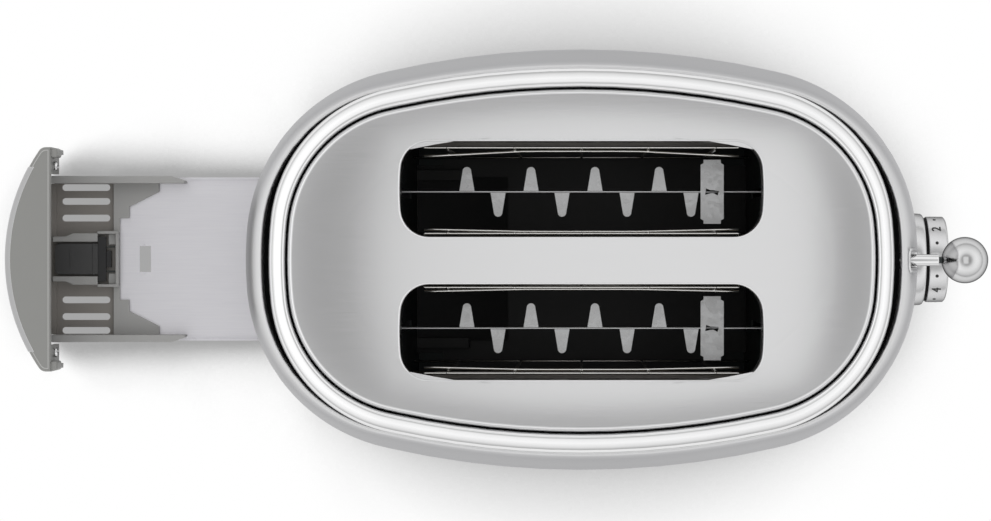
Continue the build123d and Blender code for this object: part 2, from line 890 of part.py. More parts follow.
def potentiometer():
    """The browning control on the board, with a round nose toward the shaft."""
    back = board_x + control_sheet
    half = pot_size / 2
    body = span_box((back, back + pot_depth - 3), (-half, half), (dial_z - half, dial_z + half))
    return body + faceted((back + pot_depth - 3, back + pot_depth), 0, dial_z, half - 2)


def control_board():
    """The circuit board, standing on the base floor across the lever end."""
    reach = (board_x, board_x + control_sheet)
    return span_box(reach, (-control_half_width, control_half_width), (floor_top, control_top))


def tact_switches():
    """Three tact switches on the board, one behind each button."""
    back = board_x + control_sheet
    half = switch_size / 2
    switches = []
    for y in button_rows():
        body = span_box((back, back + switch_depth), (y - half, y + half), (button_z - half, button_z + half))
        nose = span_box(
            (back + switch_depth, back + switch_depth + plunger_length),
            (y - 1.6, y + 1.6),
            (button_z - 1.6, button_z + 1.6),
        )
        switches.append(body + nose)
    return switches


def push_button(y):
    """A button cap with its stem and the collar that stops it in the bezel."""
    tip = board_x + control_sheet + switch_depth + plunger_length + button_travel + button_gap
    collar_front = button_bezel_back - button_gap
    cap = faceted((collar_front, button_face), y, button_z, button_radius)
    reach = button_radius + button_flange
    collar = span_box(
        (collar_front - button_flange, collar_front), (y - reach, y + reach), (button_z - reach, button_z + reach)
    )
    half = button_stem_radius
    stem = span_box((tip, collar_front), (y - half, y + half), (button_z - half, button_z + half))
    return cap + collar + stem


def button_bezels():
    """Three turned bezels in the shell, one round each button."""
    bezels = []
    for y in button_rows():
        ring = faceted((button_bezel_back, button_face - button_proud), y, button_z, button_bezel_radius)
        bezels.append(ring - faceted((button_bezel_back - 1, button_face), y, button_z, button_bore()))
    return bezels


def power_switch():
    """The contact block on the back of the board that the carriage works."""
    back = carriage_x + carriage_flange + 1.5
    body = span_box((back, board_x), (-30, -16), (control_top - 26, control_top - 12))
    return body + span_box((back + 2, back + 5), (-25, -21), (control_top - 12, control_top - 9))


def tray_outline(inset, back, corner=0.6):
    """The tray front from above: an arc outside, a straight inner edge, rounded corners."""
    radius = tray_front_radius - inset
    disc = Pos(tray_front_x + tray_front_radius, 0) * Circle(radius)
    half = tray_half_width - inset
    blank = Pos((tray_front_x + back) / 2 - 10, 0) * Rectangle(back - tray_front_x + 20, 2 * half)
    outline = disc & blank
    corners = outline.vertices().group_by(Axis.X)[0]
    return fillet(corners, corner)


def tray_front():
    """The moulded front: a hollow arc shaped box, open below, with ears at its inner corners."""
    front = Pos(0, 0, tray_front_bottom) * extrude(
        tray_outline(0, tray_back_x, tray_corner), tray_front_top - tray_front_bottom
    )
    front = chamfer(front.edges().group_by(Axis.Z)[-1].filter_by(GeomType.CIRCLE), tray_top_bevel)
    hollow_high = tray_front_top - tray_front_wall - tray_front_bottom
    hollow = Pos(0, 0, tray_front_bottom - 0.01) * extrude(
        tray_outline(tray_front_wall, tray_back_x - tray_front_wall), hollow_high
    )
    front -= hollow
    ear_y = (tray_half_width - tray_ear_width, tray_half_width - 0.4)
    ear = span_box((tray_back_x, tray_back_x + tray_ear), ear_y, (tray_front_bottom, tray_front_top - 0.6))
    front += both_sides(ear)
    front -= tray_skin_blank()
    window_half = latch_half_width + latch_gap
    window = (tray_floor_top, tray_floor_top + latch_gap + latch_height + latch_gap)
    front -= span_box((tray_back_x - tray_front_wall - 3, tray_back_x + 1), (-window_half, window_half), window)
    return front


def tray_skin_blank():
    """The space of the bright skin: a thin face and a lip turned over the top edge."""
    outer = tray_outline(-skin_proud, tray_back_x)
    window = Pos(tray_front_x, 0) * Rectangle(2 * tray_half_width, 2 * skin_half_width)
    face = (outer - tray_outline(skin_thickness, tray_back_x + tray_corner)) & window
    lip = (outer - tray_outline(skin_lip, tray_back_x + tray_corner)) & window
    low, high = tray_front_bottom + skin_low_gap, tray_front_top - skin_proud
    blank = Pos(0, 0, low) * extrude(face, high - low)
    return blank + Pos(0, 0, high - skin_thickness) * extrude(lip, skin_thickness + 1)


def tray_front_skin():
    """The bright steel skin on the tray front."""
    skin = tray_skin_blank()
    top = tray_front_top + 0.1
    return skin & span_box((tray_front_x - 5, tray_back_x), (-tray_half_width, tray_half_width), (0, top))


def vent(y):
    """One of the long holes in the pan, its ends cut round in facets."""
    outline = chamfer(Rectangle(vent_length, vent_width).vertices(), vent_width / 3.4)
    return Pos(vent_x, y, tray_bottom - 1) * extrude(outline, tray_floor + 2)


def tray_frame():
    """The moulded frame: pan with vents, side rails, stepped shelf, latch channel, spring box."""
    frame = span_box(
        (tray_back_x, tray_floor_end), (-tray_pan_half, tray_pan_half), (tray_bottom, tray_floor_top)
    )
    for y in vent_rows:
        frame -= vent(y)
        frame -= vent(-y)
    frame += tray_shelf()
    frame += both_sides(tray_rail())
    frame += both_sides(channel_side())
    return frame + spring_box() - span_box(
        (channel_end, box_end - box_wall),
        (-box_half_width + box_wall, box_half_width - box_wall),
        (tray_floor_top, tray_floor_top + channel_height + 1),
    )


def tray_shelf():
    """The stepped shelf that laps over the sheet, and the web that joins it to the pan."""
    top = shelf_bottom + shelf_thickness
    web = span_box(
        (tray_floor_end - 1.5, tray_floor_end), (-tray_pan_half, tray_pan_half), (tray_floor_top - 0.5, top)
    )
    start = tray_floor_end - 1
    first, second, third = shelf_step_x
    low, middle, high = shelf_step_y
    corners = [
        (start, 0),
        (first, 0),
        (first, low),
        (second, low),
        (second, middle),
        (third, high),
        (third, tray_pan_half),
        (start, tray_pan_half),
    ]
    half_shelf = Pos(0, 0, shelf_bottom) * extrude(make_face(Polyline(*corners, close=True)), shelf_thickness)
    return web + both_sides(half_shelf)


def tray_rail():
    """A side rail of the tray with a chamfered tip, relieved under where the sheet slides in."""
    outline = [
        (tray_back_x, tray_pan_half),
        (rail_end, tray_pan_half),
        (rail_end, tray_pan_half + rail_wall / 3),
        (rail_end - rail_tip, tray_pan_half + rail_wall),
        (tray_back_x, tray_pan_half + rail_wall),
    ]
    rail = Pos(0, 0, tray_bottom) * extrude(make_face(Polyline(*outline, close=True)), rail_height)
    return rail - span_box(
        (sheet_back - shelf_gap, rail_end + 1), (0, tray_pan_half + rail_wall + 1), (0, shelf_bottom)
    )


def channel_side():
    """One wall of the latch channel, with the bump that guides the latch."""
    outer = channel_inner + channel_wall
    height = (tray_floor_top - 0.5, tray_floor_top + channel_height)
    wall = span_box((tray_back_x, channel_end), (channel_inner, outer), height)
    middle = (tray_back_x + channel_end) / 2
    bump = span_box((middle - 4.5, middle + 4.5), (outer - 0.5, outer + channel_bump), height)
    bump = chamfer(bump.edges().filter_by(Axis.Z).group_by(Axis.Y)[-1], channel_bump)
    return wall + bump


def spring_box():
    """The walled box at the channel's end that holds the latch head and its spring."""
    height = (tray_floor_top - 0.5, tray_floor_top + channel_height)
    return span_box((channel_end, box_end), (-box_half_width, box_half_width), height)


def tray_latch():
    """The dark push latch: slider with a shallow thumb recess, T head and tongue."""
    low = tray_floor_top + latch_gap
    high = low + latch_height
    head_x = channel_end + latch_gap
    latch = span_box((latch_front, head_x + 0.5), (-latch_half_width, latch_half_width), (low, high))
    latch = chamfer(latch.edges().group_by(Axis.X)[0].filter_by(Axis.Z), 1.5)
    latch += span_box((head_x, head_x + latch_head), (-latch_head_half, latch_head_half), (low, high))
    tongue_end = head_x + latch_head + latch_tongue
    latch += span_box((head_x, tongue_end), (-latch_tongue_half, latch_tongue_half), (low, high - 1))
    groove = span_box((head_x - 1.6, head_x - 0.4), (-latch_half_width - 1, latch_half_width + 1), (high - 0.8, high + 1))
    return latch - groove


def latch_spring():
    """Two thin spring legs between the latch head and the end of its box."""
    start = channel_end + latch_gap + latch_head
    z = tray_floor_top + latch_gap + latch_height - 1
    end = box_end - box_wall
    return [wire((start, y, z), (end, y, z), latch_leg_radius) for y in (-latch_leg_y, latch_leg_y)]


def tray_sheet():
    """The metal sheet that catches the crumbs, hemmed at its sides, with the catch hole."""
    end = sheet_back + sheet_length
    top = tray_floor_top + sheet_thickness
    sheet = span_box((sheet_back, end), (-sheet_half_width, sheet_half_width), (tray_floor_top, top))
    hem_x = (rail_end + 1.5, end)
    hem_y = (sheet_half_width - sheet_thickness, sheet_half_width)
    sheet += both_sides(span_box(hem_x, hem_y, (top - 0.1, tray_floor_top + sheet_hem)))
    hole_x = sheet_back + catch_x + 3.5
    sheet -= span_box(
        (hole_x, hole_x + catch_length), (-catch_half_width, catch_half_width), (tray_floor_top - 1, top + 1)
    )
    sheet -= span_box(
        (sheet_back - 1, box_end + shelf_gap),
        (-box_half_width - shelf_gap, box_half_width + shelf_gap),
        (tray_floor_top - 1, top + 1),
    )
    tab_span = (hole_x, hole_x + 1.6)
    tabs = span_box(tab_span, (catch_half_width, catch_half_width + 1.2), (top - 0.1, top + 1.0))
    return sheet + both_sides(tabs)


def pulled_out(pieces):
    """Pieces of the tray where the toaster is shown with it open."""
    return [Pos(-tray_out, 0, 0) * piece for piece in pieces]


def write(name, pieces):
    """Write one named piece, or a group of like pieces, to its own file."""
    solids = []
    for piece in pieces:
        solids += piece.solids()
    label = solids[0] if len(solids) == 1 else Compound(children=solids)
    export_step(label, f"parts/{name}.step")


def build():
    """Every piece of the toaster, under the name of its file."""
    pieces = {
        "body_shell": [body_shell()],
        "crown_ring": [crown_ring()],
        "cover_gasket": [cover_gasket()],
        "top_plate": [top_plate()],
        "base_moulding": [base_moulding()],
        "rubber_feet": rubber_feet(),
        "cord_gland": [cord_gland()],
        "cord_cleats": cord_cleats(),
        "terminal_block": [terminal_block()],
        "chassis_front": [chassis_front()],
        "chassis_rear": [chassis_rear()],
        "reflector_left": [reflector()],
        "reflector_right": [mirror(reflector(), Plane.XZ)],
        "carriage_plate": [carriage_plate()],
        "armature": [armature()],
        "lever_stem": [lever_stem()],
        "lever_ball": [lever_ball()],
        "lever_slot_trim": [lever_slot_trim()],
        "guide_rods": guide_rods(),
        "lift_spring": [lift_spring()],
        "magnet_core": [magnet_core()],
        "magnet_coil": [magnet_coil()],
        "power_switch": [power_switch()],
        "control_board": [control_board()],
        "tact_switches": tact_switches(),
        "potentiometer": [potentiometer()],
        "dial_shaft": [dial_shaft()],
        "browning_dial": [browning_dial()],
        "dial_bezel": [dial_bezel()],
        "dial_seal": [dial_seal()],
        "button_bezels": button_bezels(),
        "tray_front": pulled_out([tray_front()]),
        "tray_front_skin": pulled_out([tray_front_skin()]),
        "tray_frame": pulled_out([tray_frame()]),
        "tray_sheet": pulled_out([tray_sheet()]),
        "tray_latch": pulled_out([tray_latch()]),
        "latch_spring": pulled_out(latch_spring()),
    }
    for name, y in zip(("reheat", "defrost", "bagel"), button_rows()):
        pieces[f"button_{name}"] = [push_button(y)]
    for side, centre in (("left", slot_y), ("right", -slot_y)):
        pieces[f"slot_collar_{side}"] = [slot_collar_tube(centre)]
        pieces[f"bread_rack_{side}"] = [bread_rack(centre)]
        pieces[f"rack_support_{side}"] = [rack_support(centre)]
        for place, out in (("outer", 1), ("inner", -1)):
            away = out if centre > 0 else -out
            board_y = centre + away * heater_offset
            pieces[f"heater_board_{side}_{place}"] = [heater_board(board_y)]
            pieces[f"heater_winding_{side}_{place}"] = [heater_winding(board_y, -away)]
            pieces[f"bread_guard_{side}_{place}"] = [bread_guard(centre + away * guard_offset, -away)]
    return pieces


outer_form = body_form()
os.makedirs("parts", exist_ok=True)
for name, pieces in build().items():
    write(name, pieces)
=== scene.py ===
"""A retro two slot toaster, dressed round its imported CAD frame.

Lengths are in millimetres until a mesh is made. X runs toward the lever end, Z up.
"""

import math

import bmesh
import bpy
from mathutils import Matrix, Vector
from mathutils.geometry import delaunay_2d_cdt


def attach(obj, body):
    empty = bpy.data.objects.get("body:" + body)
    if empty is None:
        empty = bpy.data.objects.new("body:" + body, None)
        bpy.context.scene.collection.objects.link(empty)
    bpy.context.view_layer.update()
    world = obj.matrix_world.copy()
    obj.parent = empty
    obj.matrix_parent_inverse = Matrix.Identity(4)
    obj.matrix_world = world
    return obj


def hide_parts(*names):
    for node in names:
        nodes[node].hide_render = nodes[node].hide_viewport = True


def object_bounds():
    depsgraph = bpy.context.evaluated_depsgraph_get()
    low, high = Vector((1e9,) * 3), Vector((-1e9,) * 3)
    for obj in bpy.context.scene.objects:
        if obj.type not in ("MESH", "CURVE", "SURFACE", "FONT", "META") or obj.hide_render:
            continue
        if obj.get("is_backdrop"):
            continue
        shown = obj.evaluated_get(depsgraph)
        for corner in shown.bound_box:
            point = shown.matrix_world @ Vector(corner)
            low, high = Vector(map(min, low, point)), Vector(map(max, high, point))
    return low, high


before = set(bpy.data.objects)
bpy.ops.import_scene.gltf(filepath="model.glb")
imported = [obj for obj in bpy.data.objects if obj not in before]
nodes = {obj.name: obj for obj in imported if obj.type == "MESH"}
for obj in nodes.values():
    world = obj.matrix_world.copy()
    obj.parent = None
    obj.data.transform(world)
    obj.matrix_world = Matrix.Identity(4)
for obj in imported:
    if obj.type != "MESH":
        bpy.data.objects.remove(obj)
cad_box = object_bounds()

# The studio: a white floor under a soft dome of light, a little brighter at the tray's end and
# dimmer to the sides, with a large soft box overhead. The camera looks straight down, as in the
# photograph. The floor shows how much of the dome it sees: it stays white with a soft shadow.


class Reading:
    """A value that runs over a surface; sums and products of it add their Math nodes."""

    def __init__(self, finish, socket):
        self.finish, self.socket = finish, socket

    def math(self, operation, first, second):
        return self.finish.node("Math", {0: first, 1: second}, operation=operation)

    def __add__(self, other):
        return self.math("ADD", self, other)

    def __sub__(self, other):
        return self.math("SUBTRACT", self, other)

    def __rsub__(self, other):
        return self.math("SUBTRACT", other, self)

    def __mul__(self, other):
        return self.math("MULTIPLY", self, other)

    __radd__, __rmul__ = __add__, __mul__


class Finish:
    """A material in the making: node() adds a node and shade() ends it. The sky is one too."""

    def __init__(self, name, holder=None):
        self.holder = holder or bpy.data.materials.new(name)
        self.holder.use_nodes = True
        self.tree = self.holder.node_tree
        self.tree.nodes.clear()

    def node(self, kind, sockets=None, output=0, stops=None, **settings):
        """A node with its settings and stops, and then the values or links of its sockets."""
        made = self.tree.nodes.new("ShaderNode" + kind)
        for name, value in settings.items():
            setattr(made, name, value)
        for i, (place, shade) in enumerate(stops or ()):
            stop = made.color_ramp.elements[i] if i < 2 else made.color_ramp.elements.new(place)
            stop.position, stop.color = place, (shade, shade, shade, 1)
        for name, value in (sockets or {}).items():
            if isinstance(value, Reading):
                self.tree.links.new(value.socket, made.inputs[name])
            else:
                made.inputs[name].default_value = value
        return Reading(self, made.outputs[output]) if made.outputs else made

    def place(self, along_x, along_y, along_z):
        """Where a point is on the object, in grains of the given counts per metre."""
        spot = self.node("TexCoord", output="Object")
        counts = (along_x, along_y, along_z)
        return self.node("VectorMath", {0: spot, 1: counts}, operation="MULTIPLY")

    def grain(self, along_x, along_y=None, along_z=None, detail=3.0):
        """Noise from 0 to 1, finer along an axis with a higher count per metre."""
        spot = self.place(along_x, along_y or along_x, along_z or along_x)
        return self.node("TexNoise", {"Vector": spot, "Scale": 1.0, "Detail": detail})

    def blend(self, share, first, second):
        """A colour between two, by a share from 0 to 1."""
        sockets = {0: share, 6: (*first, 1), 7: (*second, 1)}
        return self.node("Mix", sockets, output=2, data_type="RGBA")

    def shade(self, colour, roughness, metallic=0.0, relief=None, depth=0.02, **fixed):
        """The shader at the end; relief is a height from 0 to 1, and depth its size in mm."""
        sockets = {"Roughness": roughness, "Metallic": metallic}
        sockets["Base Color"] = colour if isinstance(colour, Reading) else (*colour, 1)
        if relief is not None:
            sockets["Normal"] = self.node("Bump", {"Height": relief, "Distance": depth / 1000})
        sockets.update({name.replace("_", " "): value for name, value in fixed.items()})
        skin = self.node("BsdfPrincipled", sockets)
        self.node("OutputMaterial", {"Surface": skin})
        return self.holder


sky = Finish("sky", bpy.data.worlds.new("sky"))
bpy.context.scene.world = sky.holder
toward = sky.node("TexCoord", output="Generated")
endward, sideward, upward = (sky.node("SeparateXYZ", {0: toward}, output=axis) for axis in "XYZ")
dome_stops = ((0.0, 0.5), (0.25, 0.85), (0.6, 1.0), (0.8, 0.85), (0.93, 0.33), (1.0, 0.29))
dome = sky.node("ValToRGB", {"Fac": upward}, stops=dome_stops)
level = sky.node("RGBToBW", {0: dome}) * (1.3 - 0.1 * endward - 0.3 * sideward * sideward)
seen = sky.node("LightPath", output="Is Camera Ray")
glow = level * (1 - seen) + seen
sky.node("OutputWorld", {"Surface": sky.node("Background", {"Color": glow})})

floor_mesh = bpy.data.meshes.new("floor")
reach = 3.0
floor_corners = [(-reach, -reach, 0), (reach, -reach, 0), (reach, reach, 0), (-reach, reach, 0)]
floor_mesh.from_pydata(floor_corners, [], [(0, 1, 2, 3)])
floor = bpy.data.objects.new("floor", floor_mesh)
bpy.context.scene.collection.objects.link(floor)
floor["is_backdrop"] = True
paper = Finish("white_floor")
openness = paper.node("AmbientOcclusion", {"Distance": 0.16}, output="AO", samples=32)
shadow = {"Value": openness, "From Min": 0.5, "From Max": 0.74, "To Min": 0.38, "To Max": 1.0}
tone = paper.node("MapRange", shadow)
rays = paper.node("LightPath", output="Is Camera Ray")
for kind in ("Is Glossy Ray", "Is Transmission Ray"):
    rays = rays + paper.node("LightPath", output=kind)
matt = paper.node("BsdfDiffuse", {"Color": (0.9, 0.9, 0.9, 1)})
bright = paper.node("Emission", {"Color": tone})
paper.node("OutputMaterial", {"Surface": paper.node("MixShader", {0: rays, 1: matt, 2: bright})})
floor_mesh.materials.append(paper.holder)

camera = bpy.data.objects.new("camera", bpy.data.cameras.new("camera"))
camera.location = (0, 0.005, 1.370)
camera.data.lens, camera.data.sensor_width = 100.4, 36.0
camera.data.shift_x, camera.data.shift_y = -0.0868, -0.0118
camera.data.clip_start = 0.05
bpy.context.scene.collection.objects.link(camera)
bpy.context.scene.camera = camera
bpy.context.scene.view_settings.view_transform = "Standard"

softbox = bpy.data.objects.new("softbox", bpy.data.lights.new("softbox", "AREA"))
softbox.data.shape, softbox.data.size, softbox.data.size_y = "RECTANGLE", 0.78, 1.1
softbox.data.energy = 1.6
softbox.location = (0.1, 0.0, 1.9)
bpy.context.scene.collection.objects.link(softbox)

# The body shell: one deep pressing of satin steel, tucked in at the foot and rolled over at the
# crest, with a lip turned down into the black groove. It screws to the base from below.

MM = 0.001
half_length, half_width = 155.0, 97.5
end_radius, side_radius, corner_radius = 195.0, 400.0, 82.0
shell_wall = 1.4


def oval(half_x, half_y, stations, z):
    """A top view outline of the body, of eight tangent arcs, as one closed ring of points.

    A station is ("y", value) near the ends, ("turn", degrees), which way the outline faces there,
    or ("past", share) of the turn that is left after the last "y".
    """
    in_x, in_y = half_length - half_x, half_width - half_y
    end_r, side_r = end_radius - in_x, side_radius - in_y
    corner_r = corner_radius - (in_x + in_y) / 2
    end_x, side_y = half_x - end_r, half_y - side_r
    apart = math.hypot(end_x, side_y)
    reach_end, reach_side = end_r - corner_r, side_r - corner_r
    along = (reach_end**2 - reach_side**2 + apart**2) / (2 * apart)
    across = math.sqrt(reach_end**2 - along**2)
    ux, uy = -end_x / apart, side_y / apart
    ways = ((end_x + ux * along - uy * across * s, uy * along + ux * across * s) for s in (-1, 1))
    corner_x, corner_y = max(ways, key=sum)
    first = math.atan2(corner_y, corner_x - end_x)
    second = math.atan2(corner_y - side_y, corner_x)
    quarter = []
    for kind, value in stations:
        if kind == "y":
            turn = math.asin(value / end_r)
            if turn > first:
                turn = math.asin((value - corner_y) / corner_r)
            last = turn
        elif kind == "past":
            turn = last + (math.pi / 2 - last) * value
        else:
            turn = math.radians(value)
        if turn <= first:
            centre, radius = (end_x, 0), end_r
        elif turn <= second:
            centre, radius = (corner_x, corner_y), corner_r
        else:
            centre, radius = (0, side_y), side_r
        quarter.append((centre[0] + radius * math.cos(turn), centre[1] + radius * math.sin(turn)))
    back = quarter[-2:0:-1] if stations[-1] == ("turn", 90) else quarter[:0:-1]
    half = quarter + [(-x, y) for x, y in ([*back, quarter[0]])]
    rest = [(x, -y) for x, y in half[-2:0:-1]]
    return [(x, y, z) for x, y in half + rest]


def skin(rings, wrap=False, lids=False):
    """Quads between closed rings of equally many points."""
    count = len(rings[0])
    points = [p for ring in rings for p in ring]
    faces = []
    for row in range(len(rings) if wrap else len(rings) - 1):
        low, high = row * count, (row + 1) % len(rings) * count
        for i in range(count):
            j = (i + 1) % count
            faces.append((low + i, low + j, high + j, high + i))
    if lids:
        faces.append(tuple(reversed(range(count))))
        faces.append(tuple(range(len(points) - count, len(points))))
    return points, faces


def piece(name, form, finish, body, replaces=(), crease=32):
    """A mesh object from points in millimetres, which rides on its body."""
    points, faces = form
    mesh = bpy.data.meshes.new(name)
    mesh.from_pydata([Vector(p) * MM for p in points], [], faces)
    work = bmesh.new()
    work.from_mesh(mesh)
    bmesh.ops.remove_doubles(work, verts=work.verts, dist=2e-6)
    bmesh.ops.recalc_face_normals(work, faces=work.faces)
    work.to_mesh(mesh)
    work.free()
    mesh.shade_smooth()
    mesh.set_sharp_from_angle(angle=math.radians(crease))
    mesh.materials.append(finish)
    made = bpy.data.objects.new(name, mesh)
    bpy.context.scene.collection.objects.link(made)
    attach(made, body)
    if replaces:
        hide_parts(*replaces)
    return made


# Height, and how far the shell draws in there at the ends and at the sides.
shell_curve = (
    (15, 6.5, 6.5), (36, 1.9, 1.9), (59, 0.1, 0.1), (86, 0.1, 0.1), (104, 1.3, 1.3),
    (124.4, 3.8, 3.8), (156.2, 7.9, 7.9), (177.4, 11.3, 10.9), (186, 14.0, 12.6),
    (191.5, 17.3, 14.6), (197, 21.5, 17.5),
)


def shell_inset(z):
    """How far the shell draws in at the ends and at the sides at a height, on a smooth curve."""
    last = len(shell_curve) - 1
    i = max(k for k in range(last - 1) if shell_curve[k][0] <= max(z, shell_curve[0][0]))
    before, low, high, after = (shell_curve[min(max(k, 0), last)] for k in range(i - 1, i + 3))
    t = (z - low[0]) / (high[0] - low[0])
    insets = []
    for k in (1, 2):
        start = (high[k] - before[k]) / max(high[0] - before[0], 1e-6) * (high[0] - low[0])
        end = (after[k] - low[k]) / (after[0] - low[0]) * (high[0] - low[0])
        rise = low[k] * (1 + 2 * t) * (1 - t) ** 2 + high[k] * (3 - 2 * t) * t**2
        insets.append(max(0.0, rise + start * t * (1 - t) ** 2 - end * (1 - t) * t**2))
    return tuple(insets)


tray_gap_half, tray_gap_top = 54.7, 57.0
lever_gap_half, lever_gap_low, lever_gap_top = 3.45, 93.0, 187.0
end_stations = (0, 1.8, lever_gap_half, 6, 9, 12, 16, 21, 26, 31, 36, 42, 48, tray_gap_half)
shell_stations = [("y", y) for y in end_stations]
shell_stations += [("past", step / 21) for step in range(1, 21)] + [("turn", 90)]
shell_heights = [
    15, 16.5, 20, 25, 31, 38, 45, 51, tray_gap_top, 64, 72, 80, 87, lever_gap_low, 100, 107,
    114, 121, 128, 135, 142, 149, 156, 162, 168, 173, 177.5, 181, 184.3, lever_gap_top,
    189.2, 190.6,
]
shell_lip = [
    (17.35, 14.7, 191.2), (17.75, 15.05, 191.48), (18.15, 15.4, 191.46), (18.5, 15.75, 191.1),
    (18.68, 15.95, 190.4), (18.7, 16.0, 189.0), (18.7, 16.0, 183.2),
]
shell_rings = [
    oval(half_length - in_end, half_width - in_side, shell_stations, z)
    for in_end, in_side, z in [(*shell_inset(z), z) for z in shell_heights] + shell_lip
]
shell_points, shell_faces = skin(shell_rings)


def in_opening(face):
    """True for a face of the pressing that the tray or the lever's slot cuts away."""
    xs, ys, zs = zip(*[shell_points[i] for i in face])
    aside, high = abs(sum(ys) / 4), sum(zs) / 4
    tray = min(xs) < -100 and max(xs) < 0 and aside < tray_gap_half and high < tray_gap_top
    lever = min(xs) > 100 and aside < lever_gap_half and lever_gap_low < high < lever_gap_top
    return tray or lever


def satin_steel():
    """Satin steel: even, with a soft grain and faint cloudiness."""
    finish = Finish("satin_steel")
    cloud, fine = finish.grain(14), finish.grain(900, 900, 2600)
    colour = finish.blend(cloud, (0.71, 0.71, 0.715), (0.76, 0.76, 0.76))
    rough = 0.30 + 0.05 * fine + 0.03 * cloud
    edge_tint = (0.45, 0.45, 0.46, 1)
    return finish.shade(colour, rough, 1.0, relief=fine, depth=0.004, Specular_Tint=edge_tint)


satin = satin_steel()
shell = piece(
    "shell_pressing", (shell_points, [f for f in shell_faces if not in_opening(f)]),
    satin, "toaster_body", ["body_shell"],
)
wall = shell.modifiers.new("wall", "SOLIDIFY")
wall.thickness, wall.offset = shell_wall * MM, -1.0

# The crown ring: a heavy polished bead that frames the top plate and clamps it to the shell,
# with a black rubber gasket below it at the bottom of the groove.

ring_outer, ring_inner, ring_width = (133.5, 81.9), (125.8, 73.4), 7.0
ring_foot, ring_ledge, ring_top = 183.2, 192.4, 196.0
bead_r, bead_lean, crest_r, crest_lean, crest_share = 8.6, 62, 0.8, 15, 0.76
smooth_stations = [("turn", step * 2.0) for step in range(45)] + [("turn", 90)]


def polished_steel():
    """Bright polished steel with faint wiping marks."""
    finish = Finish("polished_steel")
    smear = finish.grain(60, 60, 60, detail=5.0)
    colour = finish.blend(smear, (0.80, 0.80, 0.805), (0.86, 0.86, 0.86))
    return finish.shade(colour, 0.07 + 0.05 * smear, 1.0, Specular_Tint=(0.4, 0.4, 0.4, 1))


def lip_steel():
    """The same polished steel, painted near black where it runs down inside a slot: painted shade.
    """
    finish = Finish("lip_steel")
    smear = finish.grain(60, 60, 60, detail=5.0)
    # Below the plate's top the lip is painted near black, as painted shade inside the slot.
    high = finish.node("SeparateXYZ", {0: finish.place(1000, 1000, 1000)}, output="Z")
    shade_depth = {"Value": high + 0.6 * smear, "From Min": 194.6, "From Max": 197.2}
    unshaded = finish.node("MapRange", shade_depth)
    colour = finish.blend(unshaded, (0.05, 0.048, 0.046), (0.80, 0.80, 0.805))
    return finish.shade(colour, 0.22 + 0.05 * smear - 0.1 * unshaded, 1.0)


polished = polished_steel()
top_tilt = math.radians(crest_lean)
ring_profile = [(0.0, ring_foot)]
for step in range(15):
    tilt = math.radians(bead_lean - (bead_lean - crest_lean) * step / 14)
    outward = bead_r * (math.sin(tilt) - math.sin(top_tilt))
    drop = bead_r * (math.cos(top_tilt) - math.cos(tilt))
    ring_profile.append((crest_share - outward / ring_width, ring_top - drop))
for step in range(1, 9):
    tilt = math.radians(crest_lean - 90 * step / 8)
    inward = crest_r * (math.sin(top_tilt) - math.sin(tilt))
    rise = crest_r * (math.cos(tilt) - math.cos(top_tilt))
    ring_profile.append((crest_share + inward / ring_width, ring_top + rise))
ring_profile += [(1.0, ring_ledge), (1.0, ring_foot)]
ring_rings = []
for share, z in ring_profile:
    reach_x, reach_y = (a + (b - a) * share for a, b in zip(ring_outer, ring_inner))
    ring_rings.append(oval(reach_x, reach_y, smooth_stations, z))
bead = skin(ring_rings, wrap=True)
piece("crown_bead", bead, polished, "toaster_body", ["crown_ring"])


def dress(node, finish, ease=0.25):
    """A CAD node keeps its shape, with its edges eased a little, and takes a finish."""
    made = nodes[node]
    made.data.materials.clear()
    made.data.materials.append(finish)
    weld = made.modifiers.new("weld", "WELD")
    weld.merge_threshold = 2e-6
    flat = made.modifiers.new("flat", "DECIMATE")
    flat.decimate_type, flat.angle_limit = "DISSOLVE", math.radians(0.6)
    edge = made.modifiers.new("edge", "BEVEL")
    edge.width, edge.segments, edge.angle_limit = ease * MM, 2, math.radians(38)


def rubber():
    """Black rubber with a dull, slightly dusty skin."""
    finish = Finish("rubber")
    dust = finish.grain(420)
    colour = finish.blend(dust, (0.003, 0.003, 0.003), (0.009, 0.009, 0.009))
    rough = 0.70 + 0.15 * dust
    return finish.shade(colour, rough, relief=dust, depth=0.03, Specular_IOR_Level=0.12)


black_rubber = rubber()
dress("cover_gasket", black_rubber)

# The top plate: a pillow shaped sheet of brushed steel with two bread slots. Each slot has a
# polished lip that rolls over its edge and runs down inside as a collar.

plate_half_x, plate_half_y = 125.6, 73.2
plate_edge_z, plate_rise, plate_crown, plate_curl = 194.3, 3.15, 62.0, 3.2
slot_y, slot_half_x, slot_half_y = 30.4, 77.0, 20.15
slot_corner, slot_bow = 12.0, 110.0


def plate_ring(inset, z=0.0):
    """The plate's outline, drawn in a little."""
    return oval(plate_half_x - inset, plate_half_y - inset, smooth_stations, z)


plate_rim = [p[:2] for p in plate_ring(0)]


def edge_distance(x, y):
    """How far a point on the plate is from the plate's edge."""
    return min(math.hypot(x - rx, y - ry) for rx, ry in plate_rim)


def plate_z(x, y):
    """The height of the pillow at a point: it falls away toward the edge."""
    share = min(1.0, edge_distance(x, y) / plate_crown)
    return plate_edge_z + plate_rise * (1 - (1 - share) ** plate_curl)


